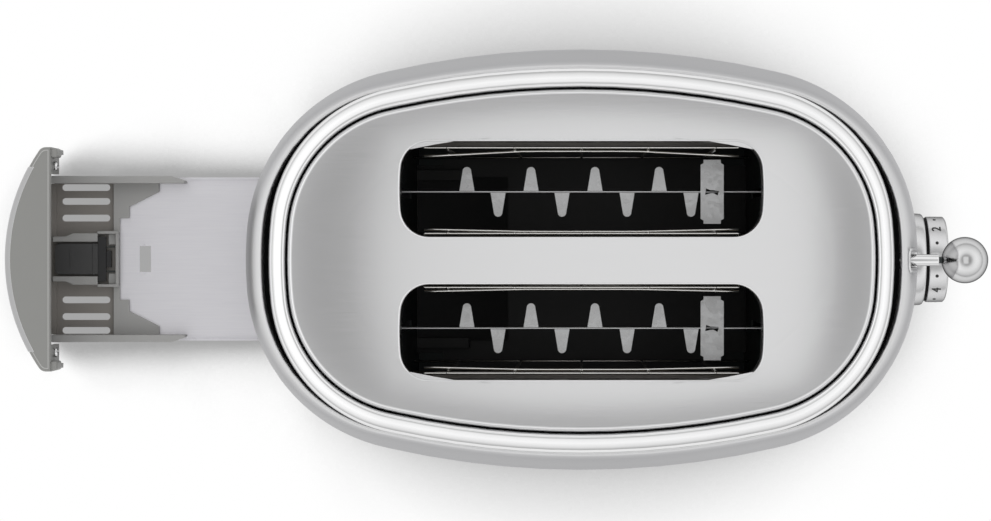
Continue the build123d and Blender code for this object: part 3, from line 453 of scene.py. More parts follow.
def slot_outline(grow, middle_y):
    """A bread slot from above: straight sides, round corners, ends that bow out a little."""
    radius, bow = slot_corner + grow, slot_bow + grow
    bow_x = slot_half_x - slot_bow
    corner_y = slot_half_y - slot_corner
    corner_x = bow_x + math.sqrt((slot_bow - slot_corner) ** 2 - corner_y**2)
    tip = math.atan2(corner_y, corner_x - bow_x)
    quarter = [(bow_x + bow * math.cos(tip * s / 4), bow * math.sin(tip * s / 4)) for s in range(5)]
    for step in range(1, 13):
        turn = tip + (math.pi / 2 - tip) * step / 12
        quarter.append((corner_x + radius * math.cos(turn), corner_y + radius * math.sin(turn)))
    quarter += [(corner_x * (1 - s / 12), slot_half_y + grow) for s in range(1, 13)]
    half = quarter + [(-x, y) for x, y in quarter[-2::-1]]
    return [(x, y + middle_y) for x, y in half + [(x, -y) for x, y in half[-2:0:-1]]]


def inside(x, y, loop):
    """True for a point within a closed outline."""
    odd = False
    for (x0, y0), (x1, y1) in zip(loop, loop[1:] + loop[:1]):
        if (y0 > y) != (y1 > y) and x < x0 + (x1 - x0) * (y - y0) / (y1 - y0):
            odd = not odd
    return odd


def filled(outline, holes=(), within=()):
    """Triangles that fill an outline and leave its holes open."""
    points, edges = [], []
    for loop in (outline, *holes):
        start = len(points)
        points += [Vector(p) for p in loop]
        edges += [(start + i, start + (i + 1) % len(loop)) for i in range(len(loop))]
    points += [Vector(p) for p in within]
    spots, _, faces = delaunay_2d_cdt(points, edges, [], 0, 1e-4)[:3]
    kept = []
    for face in faces:
        x = sum(spots[i][0] for i in face) / len(face)
        y = sum(spots[i][1] for i in face) / len(face)
        if inside(x, y, outline) and not any(inside(x, y, hole) for hole in holes):
            kept.append(tuple(face))
    return [(p[0], p[1]) for p in spots], kept


def join(*forms):
    """Several forms as one."""
    points, faces = [], []
    for more_points, more_faces in forms:
        start = len(points)
        points += more_points
        faces += [tuple(start + i for i in face) for face in more_faces]
    return points, faces


def brushed_steel():
    """Steel brushed along the plate: long fine scratches over a soft cloudiness."""
    finish = Finish("brushed_steel")
    scratch, cloud = finish.grain(35, 5200, 900, detail=2.0), finish.grain(9)
    colour = finish.blend(scratch, (0.69, 0.69, 0.695), (0.75, 0.75, 0.755))
    rough = 0.17 + 0.06 * scratch + 0.03 * cloud
    return finish.shade(colour, rough, 1.0, relief=scratch, depth=0.003)


brushed = brushed_steel()
slot_grow, lip_room, grid_step, grid_inset = 0.65, 2, 5, 21.5
slot_holes = [slot_outline(slot_grow, y) for y in (slot_y, -slot_y)]
lip_rooms = [slot_outline(slot_grow + lip_room, y) for y in (slot_y, -slot_y)]
plate_insets = (2.4, 2.65, 3.0, 3.8, 4.9, 6.2, 7.7, 9.4, 11.3, 13.4, 15.8, 18.4)
plate_rings = [plate_ring(inset) for inset in plate_insets]
innermost = [p[:2] for p in plate_rings[-1]]
plate_grid = [
    (x, y) for x in range(-140, 141, grid_step) for y in range(-85, 86, grid_step)
    if inside(x, y, innermost) and edge_distance(x, y) > grid_inset
    and not any(inside(x, y, room) for room in lip_rooms)
]
flat_points, plate_faces = filled(innermost, slot_holes, plate_grid)
plate_points = [(x, y, plate_z(x, y)) for x, y in flat_points]
edge_rings = [[(x, y, plate_z(x, y)) for x, y, _ in ring] for ring in reversed(plate_rings)]
edge_z = edge_rings[-1][0][2]
fold = (
    (1.95, 0.09), (1.5, 0.25), (1.1, 0.48), (0.75, 0.78), (0.42, 1.2), (0.15, 1.75), (0.0, 2.4),
    (0.0, 8.0),
)
edge_rings += [plate_ring(inset, edge_z - drop) for inset, drop in fold]
piece(
    "plate_sheet", join((plate_points, plate_faces), skin(edge_rings)),
    brushed, "toaster_body", ["top_plate"], crease=50,
)

lip_profile = (
    (0.95, 0.0), (0.88, 0.14), (0.7, 0.26), (0.48, 0.3), (0.25, 0.24), (0.08, 0.05), (0.0, -0.3),
    (0.0, -1.2), (0.0, -13.0), (0.3, -13.3), (0.6, -13.0), (0.6, -0.9),
)
collar_z = plate_edge_z + 3
for side, middle in (("left", slot_y), ("right", -slot_y)):
    lip_rings = []
    for grow, lift in lip_profile:
        spots = slot_outline(grow, middle)
        tops = [plate_z(x, y) if lift > -10 else collar_z for x, y in spots]
        lip_rings.append([(x, y, top + lift) for (x, y), top in zip(spots, tops)])
    piece(
        f"slot_lip_{side}", skin(lip_rings, wrap=True),
        lip_steel(), "toaster_body", [f"slot_collar_{side}"],
    )

# The chassis: end plates and reflectors that stand on the base inside the shell and carry the
# heaters, painted near black as painted shade deep in the slots. The heater boards are mica, wound
# with flat ribbon.


def blackened_steel():
    """Near black sheet steel, slightly green; on the chassis and lever's neck it is painted shade.
    """
    finish = Finish("blackened_steel")
    patch = finish.grain(70)
    colour = finish.blend(patch, (0.014, 0.020, 0.021), (0.034, 0.043, 0.042))
    return finish.shade(colour, 0.35 + 0.15 * patch, 0.3)


def galvanised_steel():
    """Zinc coated sheet: dull grey with pale spangles."""
    finish = Finish("galvanised_steel")
    spot = finish.place(520, 520, 520)
    spangle = finish.node("TexVoronoi", {"Vector": spot, "Scale": 1.0}, output="Color")
    shade = finish.node("SeparateColor", {0: spangle})
    colour = finish.blend(shade, (0.60, 0.605, 0.61), (0.80, 0.805, 0.81))
    return finish.shade(colour, 0.36 + 0.16 * shade, 0.9)


def mica():
    """Pressed mica board: warm grey flakes with a slight gloss."""
    finish = Finish("mica")
    flake, cloud = finish.grain(520), finish.grain(40)
    colour = finish.blend(flake * 0.6 + cloud * 0.4, (0.20, 0.17, 0.13), (0.46, 0.41, 0.33))
    return finish.shade(colour, 0.45 + 0.2 * flake, relief=flake, depth=0.05)


def ribbon_steel():
    """Flat heating ribbon, dulled by heat."""
    finish = Finish("heater_ribbon")
    burn_and_shade = finish.grain(160)
    colour = finish.blend(burn_and_shade, (0.24, 0.22, 0.21), (0.48, 0.46, 0.44))
    return finish.shade(colour, 0.38 + 0.15 * burn_and_shade, 1.0)


zinc, black_coat_and_shade, board, ribbon = galvanised_steel(), blackened_steel(), mica(), ribbon_steel()
# Painted near black: painted shade for the depths of the slots.
for node in ("chassis_front", "chassis_rear", "reflector_left", "reflector_right"):
    dress(node, black_coat_and_shade, ease=0.15)
for side in ("left", "right"):
    for face in ("inner", "outer"):
        dress(f"heater_board_{side}_{face}", board, ease=0.1)
        dress(f"heater_winding_{side}_{face}", ribbon, ease=0.05)

# The bread guards: grids of bright round wire on both walls of each slot. Each turns on its
# lowest wire and leans in on the bread; the second rail stands in from the top one.

guard_low_z, guard_top_z, guard_offset, guard_half = 50.0, 181.0, 18.2, 82
guard_wire, rail_wire, rail_half, upright_gap = 0.6, 0.5, 68.0, 28.8


def eased(path, radius, steps=4):
    """A path with its corners rounded."""
    spots = [Vector(p) for p in path]
    out = [spots[0]]
    for before, corner, after in zip(spots, spots[1:], spots[2:]):
        cut = min(radius, (before - corner).length / 2.1, (after - corner).length / 2.1)
        start = corner + (before - corner).normalized() * cut
        end = corner + (after - corner).normalized() * cut
        for step in range(steps + 1):
            t = step / steps
            out.append(start * (1 - t) ** 2 + corner * 2 * t * (1 - t) + end * t * t)
    return [*out, spots[-1]]


def wire(path, radius, sides=10):
    """Round wire along a path, with small domed ends."""
    spots = [Vector(p) for p in path]
    heads = [(b - a).normalized() for a, b in zip(spots, spots[1:])]
    side = heads[0].orthogonal().normalized()
    rings = []
    for i, spot in enumerate(spots):
        head = (heads[max(i - 1, 0)] + heads[min(i, len(heads) - 1)]).normalized()
        side = (side - head * side.dot(head)).normalized()
        up = head.cross(side)

        def ring(centre, size, side=side, up=up):
            turns = [2 * math.pi * k / sides for k in range(sides)]
            return [centre + (side * math.cos(t) + up * math.sin(t)) * size for t in turns]

        if i == 0:
            rings.append(ring(spot - head * radius * 0.45, radius * 0.55))
        rings.append(ring(spot, radius))
        if i == len(spots) - 1:
            rings.append(ring(spot + head * radius * 0.45, radius * 0.55))
    return skin(rings, lids=True)


def bright_wire():
    """Nickel plated wire, a little yellowed by heat in places."""
    finish = Finish("bright_wire")
    tarnish = finish.grain(90)
    colour = finish.blend(tarnish, (0.86, 0.86, 0.85), (0.74, 0.72, 0.68))
    return finish.shade(colour, 0.16 + 0.12 * tarnish, 1.0)


nickel = bright_wire()
low_rail_z = guard_top_z - 7.0
for side, middle in (("left", slot_y), ("right", -slot_y)):
    away = 1 if side == "left" else -1
    for face, out in (("outer", away), ("inner", -away)):
        y, name = middle + out * guard_offset, f"bread_guard_{side}_{face}"
        step_in, bow = (0.5, 1.0) if face == "inner" else (0.9, 2.3 if side == "left" else 1.0)
        top_y = y + out * (0.7 if face == "inner" else 0.0)
        wires = [wire([(-guard_half, y, guard_low_z), (guard_half, y, guard_low_z)], guard_wire)]
        for i in range(5):
            x = (i - 2) * upright_gap
            bend = [(x, y, guard_low_z), (x, top_y - out * step_in, low_rail_z - 4)]
            bend += [(x, top_y - out * step_in, low_rail_z), (x, top_y, guard_top_z - 0.1)]
            wires.append(wire(eased(bend, 3), guard_wire))
        hook = [(-rail_half, top_y + out * 1.6, guard_top_z - 1.2)]
        hook.append((-rail_half, top_y, guard_top_z - guard_wire))
        top = hook + [(-x, hook_y, z) for x, hook_y, z in reversed(hook)]
        wires.append(wire(eased(top, 3), rail_wire))
        bowed = []
        for i in range(-8, 9):
            share = max(0.0, abs(i) / 8 - 0.35) / 0.65
            lean = step_in + 0.4 + bow * share
            bowed.append((i * rail_half / 8, top_y - out * lean, low_rail_z))
        wires.append(wire(bowed, rail_wire))
        piece(f"{name}_wires", join(*wires), nickel, name, [name], crease=60)

# The carriage: a galvanised plate on two guide rods, with the racks that hold the bread, the
# armature that the holding magnet catches and the spring that lifts it all.


def raised_sheet(outline, low, high, holes=()):
    """A flat sheet cut to an outline, with open holes."""
    spots, faces = filled(outline, holes)
    top = ([(x, y, high) for x, y in spots], faces)
    under = ([(x, y, low) for x, y in spots], [f[::-1] for f in faces])
    loops = (outline, *holes)
    walls = [skin([[(x, y, z) for x, y in loop] for z in (low, high)]) for loop in loops]
    return join(top, under, *walls)


def tab_outline(x, y, side):
    """A rack tab from above: wide at the root, narrowing to a round tip."""
    root, tip, length = 6.7 / 2, 3.8 / 2, 10.7
    flank = [(x - root, y), (x - tip, y + side * (length - tip))]
    crown = [
        (x - tip * math.cos(turn), y + side * (length - tip + tip * math.sin(turn)))
        for turn in (math.pi * step / 10 for step in range(1, 10))
    ]
    loop = flank + crown + [(x + tip, y + side * (length - tip)), (x + root, y)]
    return loop if side < 0 else loop[::-1]


def box(x, y, z):
    """A block between limits."""
    (x0, x1), (y0, y1), (z0, z1) = x, y, z
    ring = [(x0, y0), (x1, y0), (x1, y1), (x0, y1)]
    return skin([[(a, b, c) for a, b in ring] for c in (z0, z1)], lids=True)


rack_z, rack_low, blade_half, tab_wall, tab_off = 138.0, 124.0, 0.23, 0.9, 0.4
support_x, support_half, support_reach, notch = 58.2, 10.3 / 2, 28.5 / 2, 1.3
blade_parts = ((-84, 54.6, rack_z), (54.6, 61.8, rack_z - 5), (61.8, 93.8, rack_z))
tab_rows = ((1, (-51.1, -22.5, 6.0, 34.6)), (-1, (-37.2, -8.7, 20.3, 48.8)))
strip = []
for sx, sy in ((1, 1), (-1, 1), (-1, -1), (1, -1)):
    waist = sx * (support_half - notch)
    corner = [(sx * support_half, sy * (support_reach - 2.2))]
    corner += [(waist, sy * (support_reach - 1.5)), (waist, sy * support_reach)]
    strip += corner if sx * sy > 0 else corner[::-1]
bow_tie = [
    (-3.1, -1.3), (-0.7, -0.7), (0.5, -0.6), (2.4, -1.6), (3.0, 0.3), (0.8, 0.7), (-0.9, 0.8),
    (-2.7, 1.5),
]
for side, middle in (("left", slot_y), ("right", -slot_y)):
    blade = [
        box((x0, x1), (middle - blade_half, middle + blade_half), (rack_low, high))
        for x0, x1, high in blade_parts
    ]
    tabs = [
        raised_sheet(tab_outline(x, middle + way * tab_off, way), rack_z - tab_wall, rack_z)
        for way, places in tab_rows for x in places
    ]
    rack = join(*blade, *tabs)
    piece(f"rack_{side}", rack, zinc, "carriage", [f"bread_rack_{side}"])
    loops = [[(support_x + x, middle + y) for x, y in loop] for loop in (strip, bow_tie)]
    support = raised_sheet(loops[0], rack_z + 0.02, rack_z + 0.85, loops[1:])
    piece(f"rack_strip_{side}", support, zinc, "carriage", [f"rack_support_{side}"])
for node, ease in (("carriage_plate", 0.25), ("armature", 0.2)):
    dress(node, zinc, ease)
dress("guide_rods", nickel, 0.3)
dress("lift_spring", nickel, 0.1)

# The electrics: a green board with three small switches and the dial's control, the magnet that
# holds the carriage down, with its copper coil, and the mains switch and terminals. The board is
# soldered, and its switches and housings are moulded.


def copper():
    """Enamelled copper wire."""
    finish = Finish("copper_coil")
    turns = finish.grain(300, 300, 2400, detail=1.0)
    colour = finish.blend(turns, (0.42, 0.14, 0.05), (0.75, 0.32, 0.14))
    return finish.shade(colour, 0.3, 0.8, relief=turns, depth=0.2)


def board_green():
    """Green solder mask with a faint copper pattern under it."""
    finish = Finish("board_green")
    spot = finish.place(120, 120, 120)
    track = finish.node("TexBrick", {"Vector": spot, "Scale": 1.0}, output="Fac")
    colour = finish.blend(track, (0.02, 0.13, 0.05), (0.03, 0.20, 0.08))
    return finish.shade(colour, 0.3, relief=track, depth=0.03)


def moulded(name, dark, light, gloss, relief_mm=0.02):
    """Moulded plastic with a fine even grain."""
    finish = Finish(name)
    grain, cloud = finish.grain(1500, detail=2.0), finish.grain(25)
    colour = finish.blend(cloud * 0.7 + grain * 0.3, dark, light)
    return finish.shade(colour, gloss + 0.12 * grain, relief=grain, depth=relief_mm)


black_plastic = moulded("black_plastic", (0.013, 0.013, 0.014), (0.024, 0.024, 0.025), 0.38)
dark_plastic = moulded("dark_plastic", (0.045, 0.045, 0.046), (0.065, 0.065, 0.065), 0.38)
dress("magnet_core", zinc, 0.3)
dress("magnet_coil", copper(), 0.4)
dress("power_switch", black_plastic, 0.4)
dress("control_board", board_green(), 0.1)
dress("tact_switches", black_plastic, 0.2)
dress("potentiometer", zinc, 0.3)
dress("terminal_block", dark_plastic, 0.4)

# The lever: a turned chrome stem that reaches out through its slot, with a softly plated ball
# screwed on at a short neck, painted black as the shade in the ball's recess. A satin steel trim
# is pressed into the slot's edge.

lever_z, ball_x, ball_r = 150.0, 169.2, 10.25


def turned(profile, y, z, sides=72):
    """A part turned about a line along X, from (x, radius) pairs."""
    rings = []
    for x, radius in profile:
        turns = [2 * math.pi * k / sides for k in range(sides)]
        rings.append([(x, y + radius * math.cos(t), z + radius * math.sin(t)) for t in turns])
    return skin(rings, lids=True)


def chrome():
    """Bright chrome plate with the faintest haze."""
    finish = Finish("chrome")
    haze = finish.grain(45)
    colour = finish.blend(haze, (0.74, 0.74, 0.745), (0.80, 0.80, 0.80))
    return finish.shade(colour, 0.09 + 0.04 * haze, 1.0, Specular_Tint=(0.1, 0.1, 0.1, 1))


def spun_chrome():
    """The ball's softer plating, left a little hazy by the spinning."""
    finish = Finish("spun_chrome")
    haze = finish.grain(60)
    colour = finish.blend(haze, (0.62, 0.62, 0.625), (0.67, 0.67, 0.67))
    return finish.shade(colour, 0.15 + 0.04 * haze, 1.0, Specular_Tint=(0.1, 0.1, 0.1, 1))


chromed = chrome()
stem_profile = [(95.8, 2.55), (157.0, 2.55), (157.55, 2.35), (157.75, 1.8)]
piece("lever_rod", turned(stem_profile, 0, lever_z), chromed, "carriage", ["lever_stem"])
# The neck is painted black: painted shade where the stem enters the ball.
neck = turned([(157.3, 1.5), (159.5, 1.5)], 0, lever_z, 24)
piece("lever_neck", neck, black_coat_and_shade, "carriage")
ball_profile = []
for step in range(2, 49):
    turn = math.pi * step / 48
    x = ball_x - ball_r * math.cos(turn)
    ball_profile.append((x, max(ball_r * math.sin(turn), 0.02)))
ball = turned(ball_profile, 0, lever_z)
piece("lever_knob", ball, spun_chrome(), "carriage", ["lever_ball"], crease=50)

trim_half, trim_low, trim_high = 4.45, 94.0, 186.6


def on_shell(z, lift=0.0):
    """The shell's outside at the lever end, at a height, lifted off it along its normal."""
    x = half_length - shell_inset(z)[0]
    run = shell_inset(z + 0.5)[0] - shell_inset(z - 0.5)[0]
    size = math.hypot(1, run)
    return x + lift / size, z + lift * run / size


climb = [(trim_high - trim_low) * step / 32 for step in range(33)]
trim_loop = [(trim_half, trim_low + rise, 1, 0) for rise in climb]
trim_loop += [(2.2, trim_high + 1.0, 0.5, 0.87), (-2.2, trim_high + 1.0, -0.5, 0.87)]
trim_loop += [(-trim_half, trim_high - rise, -1, 0) for rise in climb]
trim_loop += [(-2.2, trim_low - 1.0, -0.5, -0.87), (2.2, trim_low - 1.0, 0.5, -0.87)]
trim_section = (
    (-1.0, -2.4), (-1.0, 0.2), (-0.8, 0.4), (-0.4, 0.5), (0.2, 0.5), (0.55, 0.4), (0.75, 0.15),
    (0.75, -0.4),
)
trim_rings = []
for across, lift in trim_section:
    ring = []
    for y, z, out_y, out_z in trim_loop:
        x, high = on_shell(z + across * out_z, lift)
        ring.append((x, y + across * out_y, high))
    trim_rings.append(ring)
trim = skin(trim_rings)
piece("lever_trim", trim, satin, "toaster_body", ["lever_slot_trim"])

# The dial: a turned aluminium knob on the control's shaft, with the browning steps printed round
# its rim. Behind it sit a black washer and a turned flange pressed into the shell.

dial_z, dial_r = 62.0, 20.2


def turned_aluminium():
    """Fine turned aluminium, ringed by the lathe."""
    finish = Finish("turned_aluminium")
    lathe = finish.node(
        "TexWave", {"Vector": finish.place(1, 1, 1), "Scale": 900.0, "Distortion": 0.4},
        output=1, wave_type="RINGS", rings_direction="X",
    )
    rough, edge_tint = 0.20 + 0.05 * lathe, (0.25, 0.25, 0.25, 1)
    return finish.shade((0.66, 0.66, 0.665), rough, 1.0, Specular_Tint=edge_tint)


aluminium = turned_aluminium()
flange_profile = [
    (149, 19.0), (149, 21.2), (154.2, 21.2), (154.8, 21.6), (157.5, 21.75), (159.9, 21.6),
    (160.6, 21.2), (161.0, 20.5), (161.0, 4),
]
flange = turned(flange_profile, 0, dial_z, 96)
piece("dial_flange", flange, aluminium, "toaster_body", ["dial_bezel"])
washer = turned([(161.0, 4), (161.0, 19.6), (162.1, 19.6), (162.1, 4)], 0, dial_z, 96)
piece("dial_washer", washer, black_rubber, "toaster_body", ["dial_seal"])
knob_profile = [
    (162.4, 4), (162.4, 19.8), (162.65, 20.12), (162.9, dial_r), (170.2, dial_r), (170.55, 20.1),
    (171.1, 19.5), (171.3, 19.1), (171.3, 18.6), (171.15, 18.3), (171.15, 17.9), (171.35, 17.6),
    (171.75, 12), (171.95, 6), (172.0, 0.02),
]
knob = turned(knob_profile, 0, dial_z, 96)
piece("dial_knob", knob, aluminium, "dial", ["browning_dial"])
dress("dial_shaft", nickel, 0.2)


def ink():
    """Black printing ink."""
    finish = Finish("black_ink")
    patch = finish.grain(700)
    colour = finish.blend(patch, (0.008, 0.008, 0.008), (0.02, 0.02, 0.02))
    return finish.shade(colour, 0.4 + 0.2 * patch)


print_r, stroke_growth, digit_size, digit_x = dial_r + 0.1, 0.1, 6.0, 166.3
dot_r, dot_x, step_angle = 0.78, 165.9, 45


def digit_form(digit, size):
    """A digit's flat outline, filled and a little emboldened, as points and faces."""
    text = bpy.data.curves.new("digit", "FONT")
    text.body, text.size, text.align_x, text.align_y = digit, size, "CENTER", "CENTER"
    holder = bpy.data.objects.new("digit", text)
    bpy.context.scene.collection.objects.link(holder)
    bpy.context.view_layer.update()
    graph = bpy.context.evaluated_depsgraph_get()
    mesh = bpy.data.meshes.new_from_object(holder.evaluated_get(graph))
    points, faces = [v.co.xy for v in mesh.vertices], [tuple(p.vertices) for p in mesh.polygons]
    sides = {(a, b) for face in faces for a, b in zip(face, face[1:] + face[:1])}
    outward = {}
    for a, b in sides:
        if (b, a) not in sides:
            along = (points[b] - points[a]).normalized()
            for end in (a, b):
                outward.setdefault(end, []).append((along.y, -along.x))
    form = []
    for i, (across, up) in enumerate(points):
        pushes = outward.get(i, [(0, 0)])
        push_x, push_y = (sum(push[axis] for push in pushes) / len(pushes) for axis in (0, 1))
        size = max(push_x * push_x + push_y * push_y, 0.3)
        form.append((across + stroke_growth * push_x / size, up + stroke_growth * push_y / size, 0))
    bpy.data.objects.remove(holder)
    bpy.data.curves.remove(text)
    bpy.data.meshes.remove(mesh)
    return form, faces


def on_rim(flat, middle, x):
    """Flat print wrapped round the dial's rim: its top points to the shell."""
    points, faces = flat
    wrapped = []
    for across, up, *_ in points:
        turn = math.radians(middle) + across / dial_r
        wrapped.append((x - up, print_r * math.sin(turn), dial_z + print_r * math.cos(turn)))
    return wrapped, faces


prints = []
dot_turns = [k * math.pi / 8 for k in range(16)]
dot_points = [(dot_r * math.cos(turn), dot_r * math.sin(turn), 0) for turn in dot_turns]
for number in range(1, 7):
    middle = (3 - number) * step_angle
    prints.append(on_rim(digit_form(str(number), digit_size), middle, digit_x))
    prints.append(on_rim((dot_points, [tuple(range(16))]), middle + step_angle / 2, dot_x))
piece("dial_numbers", join(*prints), ink(), "dial")

# The push buttons: three turned chrome caps under the dial, each in a turned and polished bezel
# in the shell. A square stem carries each cap back to its switch, and a flange stops it there.

button_z = 31.5
bezel_profile = [
    (143, 5.1), (143, 7.2), (151.4, 7.2), (152.1, 7.0), (152.55, 6.4), (152.45, 5.7), (151.6, 5.1),
    (143, 5.1),
]
cap_profile = [
    (142.7, 1.9), (142.7, 4.7), (152.6, 4.7), (153.15, 4.45), (153.35, 4.0), (153.3, 3.4),
    (153.0, 1.5), (152.95, 0.02),
]
for name, y in (("reheat", -18.0), ("defrost", 0.0), ("bagel", 18.0)):
    piece(
        f"button_ring_{name}", turned(bezel_profile, y, button_z, 48),
        polished, "toaster_body", ["button_bezels"],
    )
    stem = box((131.1, 142.75), (y - 2, y + 2), (button_z - 2, button_z + 2))
    flange = box((141.5, 142.7), (y - 5.9, y + 5.9), (button_z - 5.9, button_z + 5.9))
    cap = join(turned(cap_profile, y, button_z, 48), stem, flange)
    piece(f"button_cap_{name}", cap, chromed, f"button_{name}", [f"button_{name}"])

# The base: a black moulding that carries everything, on four rubber feet, with the lead's gland
# and two cleats for winding it on.

dress("base_moulding", black_plastic, 0.6)
dress("cord_gland", black_rubber, 0.3)
dress("cord_cleats", black_plastic, 0.4)
dress("rubber_feet", black_rubber, 0.8)

# The tray's front: a grey moulded shell, bowed outside and open at the back, with a paler line
# round its top, a painted highlight on its edge. A satin steel skin covers the bow, and a screw at
# each side holds the front on.

grey_plastic = moulded("grey_plastic", (0.262, 0.262, 0.250), (0.290, 0.290, 0.280), 0.42)
front_x, front_r, front_half, front_back = -182.0, 92.0, 53.4, -252.5
front_low, front_top, front_wall, open_half = 11.0, 56.0, 2.2, 41.0


def front_outline(inset, back, z, fillet=4.0):
    """The tray front from above: an arc outside, rounded corners, a straight inner edge."""
    big, half = front_r - inset, front_half - inset
    reach, side = big - fillet, half - fillet
    tip, middle = math.asin(side / reach), front_x - math.sqrt(reach**2 - side**2)
    turns = [tip * step / 20 for step in range(21)]
    path = [(front_x - big * math.cos(turn), big * math.sin(turn)) for turn in turns]
    for step in range(1, 9):
        turn = tip + (math.pi / 2 - tip) * step / 8
        path.append((middle - fillet * math.cos(turn), side + fillet * math.sin(turn)))
    path += [(back, half), (back, open_half)]
    return [(x, -y, z) for x, y in path[:0:-1]] + [(x, y, z) for x, y in path]


front_heights = (front_low, 34.0, front_top - front_wall, 55.2)
front_rings = [front_outline(0, front_back, z) for z in front_heights]
for inset, z in ((0.1, 55.6), (0.3, 55.87), (0.6, 55.98), (0.9, front_top)):
    front_rings.append(front_outline(inset, front_back - inset * 0.6, z))
front_points, front_faces = skin(front_rings)
around = len(front_rings[0])
cut_away = {0, 1, around - 3, around - 2, around - 1, 2 * around - 1}
front_faces = [f for i, f in enumerate(front_faces) if i not in cut_away]
front_faces.append(tuple(range(len(front_points) - around, len(front_points))))
front = piece(
    "tray_front_moulding", (front_points, front_faces),
    grey_plastic, "crumb_tray", ["tray_front"],
)
thick = front.modifiers.new("wall", "SOLIDIFY")
thick.thickness, thick.offset = front_wall * MM, -1.0
ears = [box((front_back - 1, -249.4), (y - 2.2, y + 2.2), (44.0, 55.0)) for y in (50.7, -50.7)]
ear = piece("tray_front_ears", join(*ears), grey_plastic, "crumb_tray")
soften = ear.modifiers.new("edge", "BEVEL")
soften.width, soften.segments = 1.0 * MM, 3
line_outer = front_outline(1.3, front_back - 0.9, front_top, 3.2)
line_inner = front_outline(1.75, front_back - 1.35, front_top, 3.0)
line_low, line_high = 55.9, 56.09
line_loops = (line_outer, line_outer, line_inner, line_inner)
line_heights = (line_low, line_high, line_high, line_low)
line_rings = [[(x, y, z) for x, y, _ in loop] for loop, z in zip(line_loops, line_heights)]
# A pale line painted round the top: a painted highlight along the front's edge.
highlight_grey = moulded("painted_highlight_plastic", (0.44, 0.44, 0.43), (0.50, 0.50, 0.49), 0.35)
piece("tray_front_highlight_line", skin(line_rings, wrap=True), highlight_grey, "crumb_tray")
head_profile = [
    (-252.6, 1.2), (-252.6, 2.2), (-251.3, 2.25), (-250.7, 1.9), (-250.45, 1.2), (-250.7, 0.9),
    (-250.7, 0.02),
]
for name, y in (("left", 44.5), ("right", -44.5)):
    head = turned(head_profile, y, 48.0, 32)
    piece(f"tray_screw_{name}", head, chromed, "crumb_tray")
dress("tray_front_skin", satin, 0.2)

# The tray's frame: a taupe moulded pan with six vents, and paler grey rails that run in the base.
# A shelf between them carries the sheet, and two walls guide the latch to its spring's box.

taupe_plastic = moulded("taupe_plastic", (0.235, 0.218, 0.201), (0.275, 0.257, 0.239), 0.45)
pan_low, pan_top, shelf_low, rail_top, channel_top = 10.2, 12.2, 13.1, 21.0, 17.0


def stadium(x, y, length, width):
    """A long hole with round ends."""
    r, points = width / 2, []
    for middle, start in ((x + length / 2 - r, -90), (x - length / 2 + r, 90)):
        for step in range(9):
            turn = math.radians(start + step * 22.5)
            points.append((middle + r * math.cos(turn), y + r * math.sin(turn)))
    return points


def edged(made, width=0.3):
    """A moulded piece's edges are a little rounded."""
    edge = made.modifiers.new("edge", "BEVEL")
    edge.width, edge.segments, edge.angle_limit = width * MM, 2, math.radians(40)


def side_box(side, x, y, z):
    """A block at one side of the tray: side is 1, or -1 for its mirror image."""
    return box(x, sorted((side * y[0], side * y[1])), z)


vents = [stadium(-243.4, side * y, 23.8, 3.3) for side in (1, -1) for y in (35.1, 28.3, 20.1)]
pan = raised_sheet([(-261, -37), (-226, -37), (-226, 37), (-261, 37)], pan_low, pan_top, vents)
ribs = [side_box(side, (-260.2, -257.6), (11, 37), (pan_top - 0.2, 13.8)) for side in (1, -1)]
piece("tray_pan", join(pan, *ribs), taupe_plastic, "crumb_tray", ["tray_frame"])
rail = [(-258.8, 37), (-193.6, 37), (-193.6, 38.2), (-200.0, 40.6), (-258.8, 40.6)]
shelf = [
    (-229.5, 12.9), (-226.4, 12.9), (-226.4, 20.0), (-221.8, 20.0), (-221.8, 25.6), (-207.1, 33.0),
    (-207.1, 37.2), (-229.5, 37.2),
]
channel = [
    (-259.0, 8.5), (-237.0, 8.5), (-237.0, 12.6), (-249.0, 12.6), (-252.6, 11.0), (-259.0, 11.0),
]
walls = ((rail, shelf_low, rail_top), (shelf, shelf_low, 14.6), (channel, pan_top, channel_top))
blocks = (
    ((-258.8, -229.0), (37, 40.6), (pan_low, shelf_low)),
    ((-229.5, -228.2), (13, 37), (pan_top, 13.2)),
    ((-237.1, -226.7), (12.3, 13.7), (pan_top, channel_top)),
    ((-232.0, -228.1), (7.0, 12.3), (pan_top, 14.6)),
)
frame_parts = []
for side in (1, -1):
    for outline, low, high in walls:
        loop = [(x, side * y) for x, y in outline]
        frame_parts.append(raised_sheet(loop if side > 0 else loop[::-1], low, high))
    frame_parts += [side_box(side, *limits) for limits in blocks]
frame_parts.append(box((-228.2, -226.7), (-12.4, 12.4), (pan_top, channel_top)))
tray_grey = moulded("tray_grey_plastic", (0.345, 0.343, 0.336), (0.395, 0.392, 0.385), 0.42)
rails = join(*frame_parts)
edged(piece("tray_rails", rails, tray_grey, "crumb_tray", ["tray_frame"]))

# The crumb sheet: pale rolled steel with its long edges turned up. It lies on the pan and the
# shelf, reaches in under both slots, and has a hole near the front for the base's catch.

sheet_top = 12.9


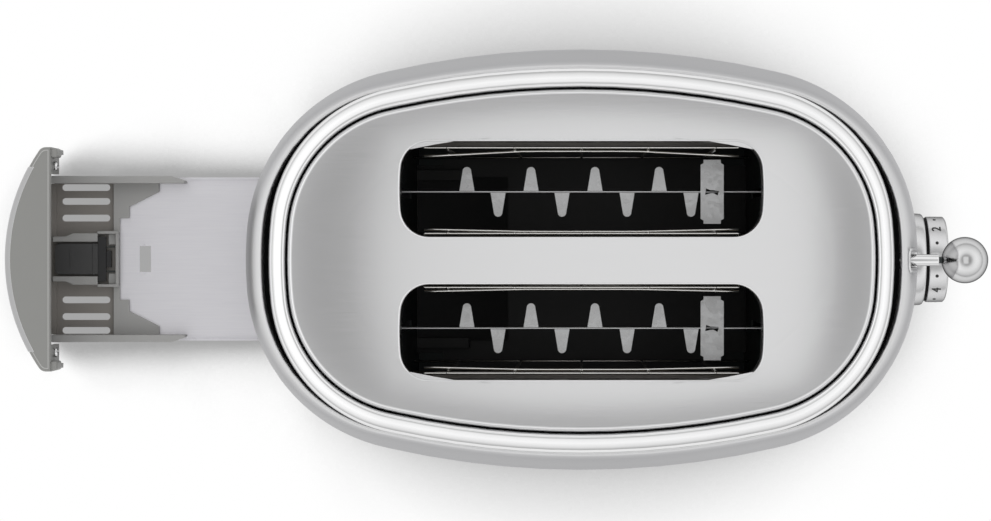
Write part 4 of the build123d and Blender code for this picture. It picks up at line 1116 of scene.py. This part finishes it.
def sheet_steel():
    """Cold rolled sheet, pale and smooth; painted near black inside the body, as painted shade."""
    finish = Finish("sheet_steel")
    rolled, patch = finish.grain(60, 1800, 900), finish.grain(55, detail=4.0)
    along = finish.node("SeparateXYZ", {0: finish.place(1000, 1, 1)}, output="X")
    # Inside the body the sheet is painted near black: painted shade under the slots.
    past = {"Value": along + 14 * patch, "From Min": -152.0, "From Max": -136.0}
    burn_and_shade = finish.node("MapRange", past)
    unshaded = finish.blend(rolled, (0.80, 0.79, 0.83), (0.87, 0.86, 0.89))
    mix = {0: burn_and_shade, 6: unshaded, 7: (0.012, 0.012, 0.013, 1)}
    colour = finish.node("Mix", mix, output=2, data_type="RGBA")
    return finish.shade(colour, 0.34 + 0.1 * rolled + 0.2 * burn_and_shade, 0.85 - 0.75 * burn_and_shade)


sheet_outline = [
    (-228.0, -40), (-36.2, -40), (-36.2, 40), (-228.0, 40), (-228.0, 14.0), (-226.5, 14.0),
    (-226.5, -14.0), (-228.0, -14.0),
]
catch = [(-216.9, -6.4), (-211.4, -6.4), (-211.4, 6.4), (-216.9, 6.4)]
sheet_forms = [raised_sheet(sheet_outline, pan_top, sheet_top, [catch])]
for side in (1, -1):
    sheet_forms.append(side_box(side, (-192.5, -36.2), (39.3, 40), (sheet_top - 0.05, 14.3)))
    sheet_forms.append(side_box(side, (-216.9, -214.6), (6.4, 7.5), (sheet_top - 0.05, 13.8)))
sheet = join(*sheet_forms)
piece("crumb_sheet", sheet, sheet_steel(), "crumb_tray", ["tray_sheet"])

# The tray's latch: a dark moulded slider under the front, with a black crosspiece at its inner
# end. It runs between the walls of the pan, and two spring wires press it back.

latch_low, latch_high = 12.5, 16.5
slider_outline = [
    (-257.8, -6.0), (-256.4, -7.5), (-236.9, -7.5), (-236.9, 7.5), (-256.4, 7.5), (-257.8, 6.0),
]
slider = join(
    raised_sheet(slider_outline, latch_low, latch_high),
    box((-239.6, -238.4), (-7.7, 7.7), (latch_low, latch_high + 0.25)),
    box((-250.5, -250.0), (-4.6, 4.6), (latch_high - 0.2, latch_high + 0.3)),
)
latch = piece("latch_slider", slider, dark_plastic, "tray_latch", ["tray_latch"])
edged(latch, 0.25)
tee = join(
    box((-237.0, -232.9), (-11.0, 11.0), (14.75, latch_high - 0.3)),
    box((-233.0, -230.6), (-4.1, 4.1), (latch_low, 15.5)),
)
edged(piece("latch_head", tee, black_plastic, "tray_latch"), 0.25)
wires = [wire([(-232.9, y, 15.6), (-228.3, y, 15.6)], 0.33) for y in (-6.0, 6.0)]
piece("latch_wires", join(*wires), black_coat_and_shade, "crumb_tray", ["latch_spring"])

# What the visual model measures, beside the CAD box.

low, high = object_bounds()
{"cad": [list(cad_box[0]), list(cad_box[1])], "visual": [list(low), list(high)]}
